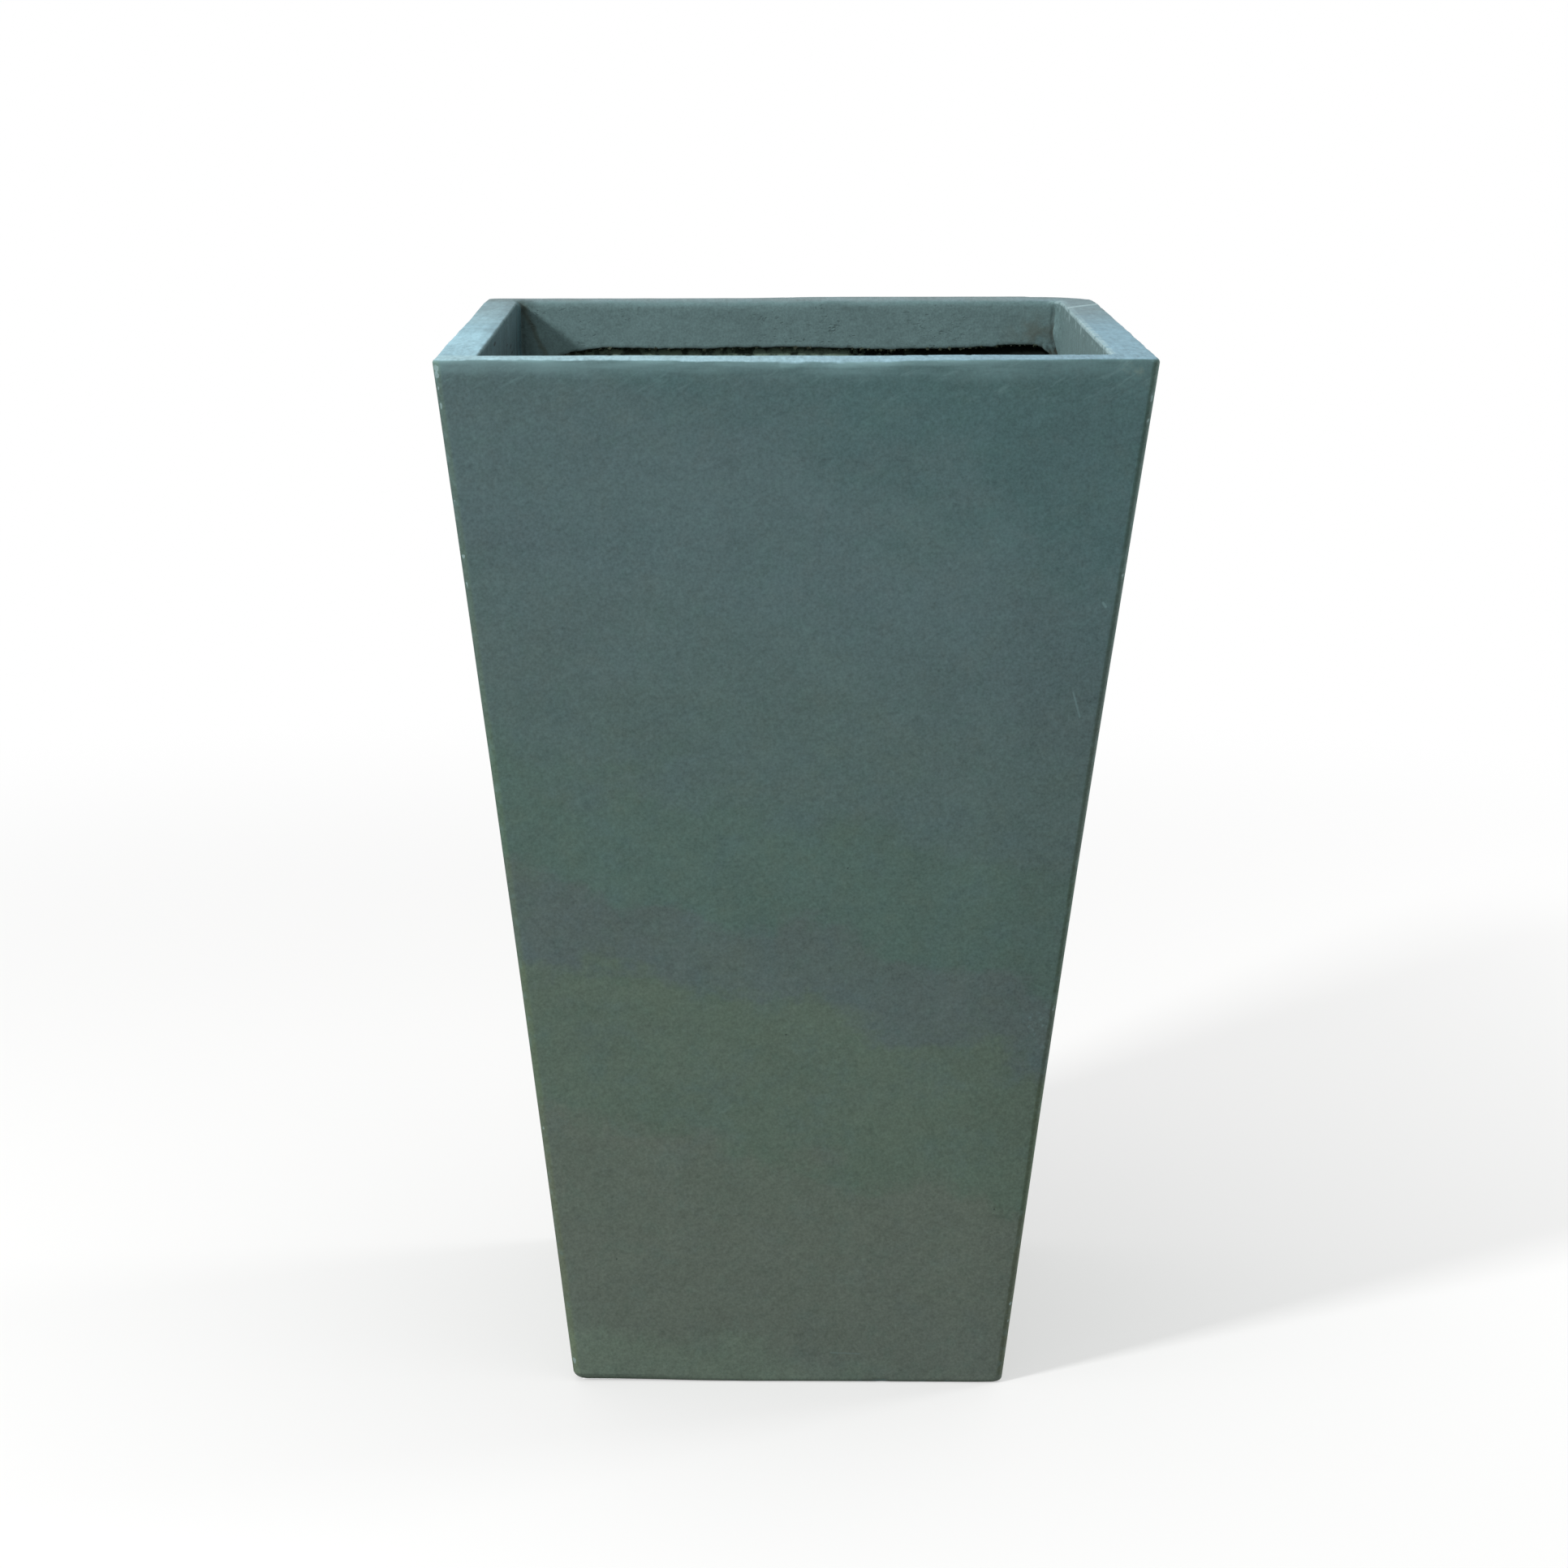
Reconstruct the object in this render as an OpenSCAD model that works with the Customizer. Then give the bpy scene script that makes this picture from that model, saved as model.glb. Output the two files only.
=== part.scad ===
// Tall square concrete planter that tapers to its foot, laid up by hand in a mould.
// A coloured face coat, glass mats and a backing shell make the walls, a thick rim is
// packed on top of them, and a floor in two layers closes the foot round a drain hole
// with a rubber plug. The origin is the middle of the foot, on the ground, with +Z up
// and the front looking along -Y. All sizes are in millimetres.

/* [Outside form] */
// Width across the top of the rim, the same both ways
top_w = 390; // [350:5:440]
// Width across the foot, the same both ways
foot_w = 252; // [220:2:290]
// Height from the ground to the top of the rim
body_h = 610; // [500:10:720]
// Radius of the four upright outside corners
corner_r = 5; // [4:0.5:8]
// Bevel round the outside of the foot
foot_bevel = 2; // [1:0.5:3]

/* [Walls] */
// Whole thickness of a wall, from the outside to the hollow
wall_t = 12; // [11:0.5:18]
// Thickness of the coloured face coat
face_t = 3; // [2:0.25:4]
// Radius of the hollow's four upright corners
hollow_r = 12; // [8:1:20]
// Height of the bare foot below the face coat
foot_h = 5; // [4:1:12]
// Hairline left between castings and layers that set against each other
seam = 0.02; // [0.02:0.01:0.1]

/* [Rim] */
// Width of the rim's flat top
rim_w = 24; // [21:1:34]
// Depth of the lip that hangs inside the mouth, from the top of the rim
lip_h = 30; // [22:1:50]
// Height of the rim's band on the outside, above the wall
band_h = 12; // [10:1:18]
// Bevel round the rim's two top edges
rim_bevel = 1.5; // [0.5:0.5:3]
// Radius of the mouth's four corners
mouth_r = 5; // [3:1:15]

/* [Glass mats] */
// Thickness of one mat or strip, soaked with cement
mat_t = 1.2; // [0.8:0.2:1.6]
// Bed of cement between a wall mat and the corner strips over it
bed_t = 0.8; // [0.4:0.2:1.6]
// Distance from an outside corner to the edge of a wall mat
mat_margin = 14; // [10:1:24]
// Reach of a corner strip along each wall, from the outside corner
strip_reach = 42; // [34:2:60]
// Radius that a corner strip is bent to
strip_bend = 7; // [5:1:10]
// Height of the lower edge of the mats and strips above the ground
mat_low = 14; // [8:1:30]
// How far the mats and strips run up into the rim's band
mat_tail = 6; // [2:1:7]
// Concrete left between the base mat and the walls
base_mat_edge = 8; // [4:1:20]
// Concrete left between the base mat and the drain hole
base_mat_eye = 6; // [3:1:15]

/* [Floor] */
// Height of the recess under the floor
recess_h = 6; // [5:1:12]
// Thickness of the base slab
slab_t = 10; // [8:1:18]
// Thickness of the screed over the slab and its mat
screed_t = 8; // [5:1:14]

/* [Drain] */
// Diameter of the drain hole
drain_d = 28; // [20:1:40]
// Gap round the plug's shank at its top
plug_gap = 0.4; // [0.2:0.1:0.8]
// How much narrower, all round, the shank is at its lower end
plug_taper = 1.4; // [0.5:0.1:2.5]
// How far the shank reaches below the slab
plug_reach = 2; // [0:0.5:3]
// Width of the plug's flange beyond the drain hole
flange_lap = 6; // [4:1:12]
// Thickness of the plug's flange
flange_t = 3; // [2:0.5:5]
// Width of the pull tab
tab_w = 22; // [14:1:26]
// Height of the pull tab above the flange, bead and all
tab_h = 15; // [10:1:24]
// Thickness of the pull tab
tab_t = 3.6; // [3:0.2:5]
// Radius of the bead along the top of the pull tab
bead_r = 2.8; // [2.6:0.1:4]

/* [Hidden] */

// Count of turns between the flats that stand in for the quarter round of a corner
flat_count = 4;
// Overshoot of a cutting solid past what it cuts
over = 1;
// Least radius of a corner that a layer hides
least_r = 1;
$fn = 96;

// Outward lean of a wall for each millimetre of height
lean = (top_w - foot_w) / 2 / body_h;
// Level distance across a leaning layer for each millimetre of its thickness
across = sqrt(1 + lean * lean);

// Insets of the layers' faces from the outside, measured level
face_in = face_t * across;
back_out = face_in + seam;
mat_in = (face_t + mat_t) * across;
strip_out = (face_t + mat_t + bed_t) * across;
strip_in = (face_t + mat_t + bed_t + mat_t) * across;
wall_in = wall_t * across;
cast_out = wall_in + seam;

// Heights of the joints
joint_z = body_h - band_h;
rim_z = joint_z + seam;
lip_z = body_h - lip_h;
mat_top = joint_z + mat_tail;
slab_top = recess_h + slab_t;
mat_deck = slab_top + mat_t;
floor_z = mat_deck + screed_t;

mouth_half = top_w / 2 - rim_w;
drain_r = drain_d / 2;
hidden_r = max(corner_r - face_t, least_r);

// Right-angle turns that bring the front to the right, the back and the left
front = 0;
right = 90;
back = 180;
left = 270;

face_colour = [0.33, 0.41, 0.40];
rim_colour = [0.52, 0.62, 0.66];
backing_colour = [0.52, 0.55, 0.52];
slab_colour = [0.47, 0.50, 0.48];
screed_colour = [0.56, 0.58, 0.54];
mat_colour = [0.86, 0.88, 0.82];
strip_colour = [0.78, 0.82, 0.74];
rubber_colour = [0.12, 0.12, 0.13];

// Half the outside width at a height
function half_w(z) = foot_w / 2 + lean * z;

// Distance from the axis to the flat that faces turn a, on a square with rounded corners
function reach(half, r, a) = (half - r) * (abs(cos(a)) + abs(sin(a))) + r;

// Block with a square plan and rounded corners, whose half width runs straight from
// half_low at height low to half_high at height high
module block(low, high, half_low, half_high, r) {
    intersection_for (k = [0 : 2 * flat_count - 1]) {
        a = 90 * k / flat_count;
        d_low = reach(half_low, r, a);
        d_high = reach(half_high, r, a);
        rotate([90, 0, a])
            linear_extrude(height = 4 * max(half_low, half_high), center = true)
                polygon([[-d_low, low], [d_low, low], [d_high, high], [-d_high, high]]);
    }
}

// Block that follows the outside form at a level inset
module form(inset, low, high, r) {
    block(low, high, half_w(low) - inset, half_w(high) - inset, r);
}

// The planter's hollow, from below the foot to above the walls
module hollow(low, high) {
    form(wall_in, low, high, hollow_r);
}

// Casting that fills the hollow between two heights
module filling(low, high) {
    form(cast_out, low, high, hollow_r);
}

// Part of a wall's layer between two insets, as wide as the front less a margin
module wall_layer(turn, outer, inner, margin) {
    y_low = -half_w(mat_low);
    y_top = -half_w(mat_top);
    x_low = half_w(mat_low) - margin;
    x_top = half_w(mat_top) - margin;
    rotate([0, 0, turn])
        intersection() {
            rotate([90, 0, 90])
                linear_extrude(height = 2 * top_w, center = true)
                    polygon([[y_low + outer, mat_low], [y_low + inner, mat_low],
                             [y_top + inner, mat_top], [y_top + outer, mat_top]]);
            rotate([90, 0, 0])
                linear_extrude(height = top_w)
                    polygon([[-x_low, mat_low], [x_low, mat_low],
                             [x_top, mat_top], [-x_top, mat_top]]);
        }
}

// Leaning half space beyond strip_reach from the outside, on the side that turn faces
module edge_zone(turn) {
    rotate([90, 0, turn])
        linear_extrude(height = 2 * top_w, center = true)
            polygon([[half_w(0) - strip_reach, 0], [top_w, 0],
                     [top_w, body_h], [half_w(body_h) - strip_reach, body_h]]);
}

// Mat of one wall; as a cutting solid it reaches out past the shell by spill
module wall_mat(turn, spill = 0) {
    wall_layer(turn, back_out - spill, mat_in, mat_margin);
}

// Strip bent round the corner between the front and the right side, then turned
module corner_strip(turn) {
    rotate([0, 0, turn])
        intersection() {
            difference() {
                form(strip_out, mat_low, mat_top, strip_bend);
                form(strip_in, mat_low - over, mat_top + over, strip_bend - mat_t);
            }
            edge_zone(0);
            edge_zone(-90);
        }
}

// All the mats and strips of the walls, to be left out of the concrete round them
module wall_glass(spill) {
    for (turn = [front, right, back, left]) {
        wall_mat(turn, spill);
        corner_strip(turn);
    }
}

module drain_hole() {
    translate([0, 0, recess_h - over])
        cylinder(r = drain_r, h = floor_z - recess_h + 2 * over);
}

module face_coat() {
    color(face_colour)
        difference() {
            form(0, foot_h + seam, joint_z, corner_r);
            form(face_in, foot_h - over, joint_z + over, hidden_r);
        }
}

// Structural wall from the ground to the rim, with a foot that comes out to the face
module backing_shell() {
    color(backing_colour)
        difference() {
            union() {
                form(back_out, foot_bevel, joint_z, hidden_r);
                intersection() {
                    form(0, 0, foot_h, corner_r);
                    block(0, foot_h, half_w(0) - foot_bevel,
                          half_w(0) - foot_bevel + foot_h, corner_r);
                }
            }
            hollow(-over, joint_z + over);
            wall_glass(over);
        }
}

// Ring that sits on the walls and hangs inside the mouth as a lip
module rim_lip() {
    color(rim_colour)
        difference() {
            union() {
                intersection() {
                    form(0, rim_z, body_h, corner_r);
                    block(joint_z, body_h, half_w(body_h) - rim_bevel + band_h,
                          half_w(body_h) - rim_bevel, corner_r);
                }
                filling(lip_z, body_h - rim_bevel);
            }
            block(lip_z - over, body_h + over, mouth_half, mouth_half, mouth_r);
            block(body_h - rim_bevel, body_h + over, mouth_half,
                  mouth_half + rim_bevel + over, mouth_r);
            wall_glass(0);
        }
}

module base_slab() {
    color(slab_colour)
        difference() {
            filling(recess_h, slab_top);
            drain_hole();
        }
}

// Mat between the slab and the screed, with an eye round the drain; as a cutting solid
// it reaches down past the screed by spill
module base_glass(spill) {
    difference() {
        form(wall_in + base_mat_edge, slab_top - spill, mat_deck, hollow_r);
        translate([0, 0, slab_top - 2 * over])
            cylinder(r = drain_r + base_mat_eye, h = mat_t + 3 * over);
    }
}

module base_mat() {
    color(mat_colour) base_glass(0);
}

// Screed trowelled over the base mat and down round its edges
module floor_screed() {
    color(screed_colour)
        difference() {
            filling(slab_top, floor_z);
            base_glass(over);
            drain_hole();
        }
}

// Stopper with a flange, turned about the drain's axis, and a tab to pull it by
module drain_plug() {
    shank_top = drain_r - plug_gap;
    tab_top = floor_z + flange_t + tab_h - bead_r;
    color(rubber_colour)
        union() {
            rotate_extrude()
                polygon([[0, recess_h - plug_reach],
                         [shank_top - plug_taper, recess_h - plug_reach],
                         [shank_top, floor_z],
                         [drain_r + flange_lap, floor_z],
                         [drain_r + flange_lap, floor_z + flange_t / 2],
                         [drain_r + flange_lap - flange_t / 2, floor_z + flange_t],
                         [0, floor_z + flange_t]]);
            translate([-tab_w / 2, -tab_t / 2, floor_z + flange_t / 2])
                cube([tab_w, tab_t, tab_top - floor_z - flange_t / 2]);
            translate([-tab_w / 2, 0, tab_top])
                rotate([0, 90, 0])
                    cylinder(r = bead_r, h = tab_w);
        }
}

module front_mat() {
    color(mat_colour) wall_mat(front);
}

module right_mat() {
    color(mat_colour) wall_mat(right);
}

module back_mat() {
    color(mat_colour) wall_mat(back);
}

module left_mat() {
    color(mat_colour) wall_mat(left);
}

module front_right_corner_strip() {
    color(strip_colour) corner_strip(front);
}

module back_right_corner_strip() {
    color(strip_colour) corner_strip(right);
}

module back_left_corner_strip() {
    color(strip_colour) corner_strip(back);
}

module front_left_corner_strip() {
    color(strip_colour) corner_strip(left);
}

face_coat();
backing_shell();
rim_lip();
base_slab();
floor_screed();
front_mat();
right_mat();
back_mat();
left_mat();
base_mat();
front_right_corner_strip();
back_right_corner_strip();
back_left_corner_strip();
front_left_corner_strip();
drain_plug();
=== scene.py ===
import itertools
import math

import bmesh
import bpy
import numpy as np
from mathutils import Matrix, Vector


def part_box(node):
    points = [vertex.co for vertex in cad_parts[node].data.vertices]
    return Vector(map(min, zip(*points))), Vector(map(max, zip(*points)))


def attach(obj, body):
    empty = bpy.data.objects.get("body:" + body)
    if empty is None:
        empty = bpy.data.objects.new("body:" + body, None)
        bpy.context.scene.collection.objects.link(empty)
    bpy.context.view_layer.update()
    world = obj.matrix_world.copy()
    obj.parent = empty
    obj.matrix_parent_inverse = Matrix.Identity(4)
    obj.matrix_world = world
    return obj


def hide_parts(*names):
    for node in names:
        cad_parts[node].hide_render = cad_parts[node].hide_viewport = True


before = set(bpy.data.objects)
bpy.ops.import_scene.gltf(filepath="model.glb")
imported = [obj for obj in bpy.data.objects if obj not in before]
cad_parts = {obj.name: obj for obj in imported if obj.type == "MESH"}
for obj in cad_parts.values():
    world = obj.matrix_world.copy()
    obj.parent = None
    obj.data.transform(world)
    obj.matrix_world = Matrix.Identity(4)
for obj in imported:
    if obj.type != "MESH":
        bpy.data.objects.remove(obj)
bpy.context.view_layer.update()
scene = bpy.context.scene
mm = 0.001
print("frame loaded,", len(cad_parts), "nodes")


# Sizes, all read from the CAD nodes so that the dressed pieces meet as the solids do

def cornersOf(node):
    return np.array([corner.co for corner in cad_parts[node].data.vertices])


def halfAt(node, z):
    # half of a node's width at one of the heights where it has corners
    points = cornersOf(node)
    return np.abs(points[np.abs(points[:, 2] - z) < 1e-5, 0]).max()


coatLow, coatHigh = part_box("face_coat")
slabLow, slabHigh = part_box("base_slab")
screedLow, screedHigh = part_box("floor_screed")
plugLow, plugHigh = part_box("drain_plug")
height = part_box("rim_lip")[1].z
jointZ = coatHigh.z  # where the rim sits on the walls
footZ = coatLow.z  # where the face coat ends above the ground
lean = (coatHigh.x - halfAt("face_coat", footZ)) / (jointZ - footZ)
slabHalf = halfAt("base_slab", slabLow.z)
drainRadius = np.hypot(*cornersOf("floor_screed").T[:2]).min()


def outerHalf(z):
    return coatHigh.x + lean * (z - jointZ)


def innerHalf(z):
    return slabHalf + lean * (z - slabLow.z)


# Shape helpers

def wobble(points, size, seed):
    # smooth noise from -1 to 1, with lumps about size across
    q = points / size + seed * 7.31
    cell = np.floor(q).astype(np.int64)
    f = q - cell
    f = f * f * (3 - 2 * f)
    total = np.zeros(points.shape[:-1])
    for step in itertools.product((0, 1), repeat=3):
        c = cell + np.array(step)
        mixed = (c[..., 0] * 73856093) ^ (c[..., 1] * 19349663) ^ (c[..., 2] * 83492791)
        mixed = ((mixed ^ (mixed >> 13)) * 1274126177) & 0x7FFFFFFF
        mixed = ((mixed ^ (mixed >> 15)) * 668265263) & 0x7FFFFFFF
        weight = np.prod(np.where(np.array(step), f, 1 - f), axis=-1)
        total += (((mixed >> 8) & 0xFFFF) / 32767.5 - 1) * weight
    return total


def waves(points, layers, start=0.0):
    # noise of several sizes on top of one another: share, size and seed of each
    return sum((share * wobble(points, size, seed) for share, size, seed in layers), start)


def hills(points, layers):
    # the same, from 0 up
    return sum(share * (0.5 + 0.5 * wobble(points, size, seed)) for share, size, seed in layers)


def rise(value, low, high):
    # 0 below low, 1 above high, smooth between
    t = np.clip((value - low) / (high - low), 0, 1)
    return t * t * (3 - 2 * t)


sideOut = np.array([(0, -1), (1, 0), (0, 1), (-1, 0)], float)  # front, right, back, left
sideAlong = np.roll(sideOut, -1, axis=0)


def ringColumns(half, piece):
    # one column per place round a square with rounded corners, closer together near the corners
    step, endStep, endWidth = (piece[name] for name in ("step", "endStep", "endWidth"))
    middle = np.linspace(0, half - endWidth, max(2, round((half - endWidth) / step) + 1))
    ends = np.linspace(half - endWidth, half, max(2, round(endWidth / endStep) + 1))[1:]
    right = np.concatenate([middle, ends]) / half
    flat = np.concatenate([-right[:0:-1], right])
    base, out = [], []
    for k in range(4):
        following = sideOut[(k + 1) % 4]
        for s in flat:
            base.append(sideOut[k] + sideAlong[k] * s)
            out.append(sideOut[k])
        for a in np.linspace(0, math.pi / 2, piece["turnSteps"] + 1)[1:-1]:
            base.append(sideOut[k] + following)
            out.append(math.cos(a) * sideOut[k] + math.sin(a) * following)
    return {"base": np.array(base), "out": np.array(out)}


def ringPoints(columns, half, turn, z):
    # half width, corner radius and height of each row, or of each row and column
    shape = (max(len(half), len(z)), len(columns["out"]))
    half, turn, z = (np.broadcast_to(value.reshape(len(value), -1), shape) for value in (half, turn, z))
    flat = columns["base"] * (half - turn)[..., None] + columns["out"] * turn[..., None]
    return np.concatenate([flat, z[..., None]], axis=-1)


def ringFaces(rows, count):
    # a face between each four neighbours, with the last row and column joined to the first
    index = np.arange(rows * count).reshape(rows, count)
    above = np.roll(index, -1, axis=0)
    return np.stack([index, np.roll(index, -1, 1), np.roll(above, -1, 1), above], axis=-1).reshape(-1, 4)


def edgeMark(columns, rows):
    # 1 on the upright edges of the square
    return np.tile(rise(np.abs(columns["out"]).min(axis=-1), 0.02, 0.35), (rows, 1))


def volumeOf(points, faces):
    a, b, c, d = (points[faces[:, k]] for k in range(4))
    return (np.einsum("ij,ij->i", a, np.cross(b, c)) + np.einsum("ij,ij->i", a, np.cross(c, d))).sum() / 6


def bite(points, chips):
    # takes small hollows out of the edges, and says how broken each point is
    broken = np.zeros(points.shape[:-1])
    for centre, radius, depth, inward in chips:
        far = np.linalg.norm(points - centre, axis=-1) / radius
        near = far < 1
        if near.any():
            share = (1 - far[near] ** 2) ** 0.7
            ragged = 1 + 0.35 * wobble(points[near], radius * 0.4, 41)
            points[near] += np.array(inward) * (depth * share * ragged)[:, None]
            broken[near] = np.maximum(broken[near], share)
    return broken


def makePiece(name, points, body, node, material, marks, faces=None, sharp=42):
    # points come in rows and columns, or with faces of their own; edges over sharp degrees show as creases
    if faces is None:
        faces = ringFaces(*points.shape[:2])
    points = points.reshape(-1, 3)
    if volumeOf(points, faces) < 0:
        faces = faces[:, ::-1]
    mesh = bpy.data.meshes.new(name)
    mesh.from_pydata(points.tolist(), [], faces.tolist())
    for mark, values in marks.items():
        attribute = mesh.attributes.new(mark, "FLOAT", "POINT")
        attribute.data.foreach_set("value", np.ravel(values).astype(np.float32))
    mesh.materials.append(material)
    mesh.shade_smooth()
    mesh.set_sharp_from_angle(angle=math.radians(sharp))
    mesh.update()
    piece = bpy.data.objects.new(name, mesh)
    scene.collection.objects.link(piece)
    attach(piece, body)
    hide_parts(node)
    print("made", name, len(faces), "faces")


# Shader helpers

def rgb(red, green, blue):
    # a colour as a paint chart gives it, 0 to 255
    shares = [value / 255 for value in (red, green, blue)]
    return (*[((s + 0.055) / 1.055) ** 2.4 if s > 0.0404 else s / 12.92 for s in shares], 1)


class Port:
    # an output socket that can stand in a sum
    def __init__(self, look, socket):
        self.look = look
        self.socket = socket

    def join(self, operation, other, swapped=False):
        pair = (other, self) if swapped else (self, other)
        vectors = any(isinstance(p, Port) and p.socket.type == "VECTOR" for p in pair)
        kind = "ShaderNodeVectorMath" if vectors else "ShaderNodeMath"
        return self.look.node(kind, {"operation": operation}, {0: pair[0], 1: pair[1]})

    def __add__(self, other):
        return self.join("ADD", other)

    def __radd__(self, other):
        return self.join("ADD", other, True)

    def __sub__(self, other):
        return self.join("SUBTRACT", other)

    def __rsub__(self, other):
        return self.join("SUBTRACT", other, True)

    def __mul__(self, other):
        return self.join("MULTIPLY", other)

    def __rmul__(self, other):
        return self.join("MULTIPLY", other, True)

    def __truediv__(self, other):
        return self.join("DIVIDE", other)

    def __rtruediv__(self, other):
        return self.join("DIVIDE", other, True)


def between(value, low, high):
    # 0 below low, 1 above high; low may be the higher one
    settings = {"interpolation_type": "SMOOTHSTEP"}
    return value.look.node("ShaderNodeMapRange", settings, {0: value, 1: low, 2: high})


def clip(value):
    return value.look.node("ShaderNodeClamp", None, {0: value})


def most(one, other):
    return one.look.node("ShaderNodeMath", {"operation": "MAXIMUM"}, {0: one, 1: other})


def absolute(value):
    return value.look.node("ShaderNodeMath", {"operation": "ABSOLUTE"}, {0: value})


def hypot(one, other):
    return one.look.node("ShaderNodeMath", {"operation": "SQRT"}, {0: one * one + other * other})


def blend(one, other, amount, how="MIX"):
    look = next(value.look for value in (one, other, amount) if isinstance(value, Port))
    settings = {"data_type": "RGBA", "blend_type": how}
    return look.node("ShaderNodeMix", settings, {0: amount, 6: one, 7: other}, 2)


def shade(colour, amount):
    # lighter or darker by a share, which varies over the surface
    share = 1 + amount
    grey = amount.look.node("ShaderNodeCombineXYZ", None, {0: share, 1: share, 2: share})
    return blend(colour, grey, 1.0, "MULTIPLY")


class Look:
    # the node tree of a material or of the world, and the few calls that fill it
    def __init__(self, owner):
        owner.use_nodes = True
        self.owner = owner
        self.tree = owner.node_tree
        self.tree.nodes.clear()

    def node(self, kind, settings=None, sockets=None, out=0):
        made = self.tree.nodes.new(kind)
        for key, value in (settings or {}).items():
            if key == "stops":
                while len(made.color_ramp.elements) < len(value):
                    made.color_ramp.elements.new(0.5)
                for element, (position, colour) in zip(made.color_ramp.elements, value):
                    element.position = position
                    element.color = colour
            else:
                setattr(made, key, value)
        for key, value in (sockets or {}).items():
            socket = made.inputs[key]
            if isinstance(value, Port):
                self.tree.links.new(value.socket, socket)
            elif socket.type == "VECTOR" and not hasattr(value, "__len__"):
                socket.default_value = (value,) * 3
            else:
                socket.default_value = value
        return made if out is None else Port(self, made.outputs[out])

    def mark(self, name):
        return self.node("ShaderNodeAttribute", {"attribute_name": name}, out="Fac")

    def noise(self, size, detail, stretch=(1, 1, 1), shift=0.0, place=None, rough=0.5):
        # 0 to 1, with lumps about size metres across
        where = (place or self.place) * tuple(s / size for s in stretch) + (shift, shift * 0.7, shift * 1.3)
        sockets = {"Vector": where, "Scale": 1.0, "Detail": detail, "Roughness": rough}
        return self.node("ShaderNodeTexNoise", None, sockets)

    def ripple(self, *noise, **more):
        # the same from -0.5 to 0.5
        return self.noise(*noise, **more) - 0.5

    def patches(self, low, high, *noise, **more):
        # soft patches where the noise is past low, whole from high on
        return between(self.noise(*noise, **more), low, high)

    def cells(self, size, shift):
        # distance from the nearest of many scattered points, in shares of size
        where = self.place / size + (shift, shift * 1.7, shift * 0.6)
        return self.node("ShaderNodeTexVoronoi", None, {"Vector": where, "Scale": 1.0}, "Distance")

    def zone(self, **limits):
        # 1 within the limits, such as x=(from, to), each with a soft start
        shares = [between(getattr(self, axis), start, end) for axis, (start, end) in limits.items()]
        return math.prod(shares[1:], start=shares[0])

    def stroke(self, start, end, width, share):
        # a short mark on the front, in millimetres of x and z
        (x0, z0), (x1, z1) = start, end
        alongX, alongZ = (x1 - x0) * mm, (z1 - z0) * mm
        fromX, fromZ = self.x - x0 * mm, self.z - z0 * mm
        along = clip((fromX * alongX + fromZ * alongZ) / (alongX ** 2 + alongZ ** 2))
        off = hypot(fromX - along * alongX, fromZ - along * alongZ)
        return between(off, width * mm, width * 0.3 * mm) * between(self.y, -0.10, -0.11) * share

    def paint(self, colour, amount, how="MIX"):
        # lays a colour, or one of the concrete's by name, over what is there
        self.colour = blend(self.colour, concrete[colour] if isinstance(colour, str) else colour, amount, how)

    def lighten(self, amount):
        self.colour = shade(self.colour, amount)

    def finish(self, shine):
        bump = self.node("ShaderNodeBump", None, {"Strength": 1.0, "Distance": 1.0, "Height": self.relief})
        sockets = {"Base Color": self.colour, "Roughness": self.rough, "Normal": bump}
        shader = self.node("ShaderNodeBsdfPrincipled", None, {**sockets, "Specular IOR Level": shine})
        self.node("ShaderNodeOutputMaterial", None, {"Surface": shader}, None)
        return self.owner


def newLook(name):
    look = Look(bpy.data.materials.new(name))
    look.place = look.node("ShaderNodeTexCoord", out="Object")
    parts = look.node("ShaderNodeSeparateXYZ", None, {0: look.place}, None)
    look.x, look.y, look.z = (Port(look, socket) for socket in parts.outputs)
    return look


# The concrete that all the cast parts are made of

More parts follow.
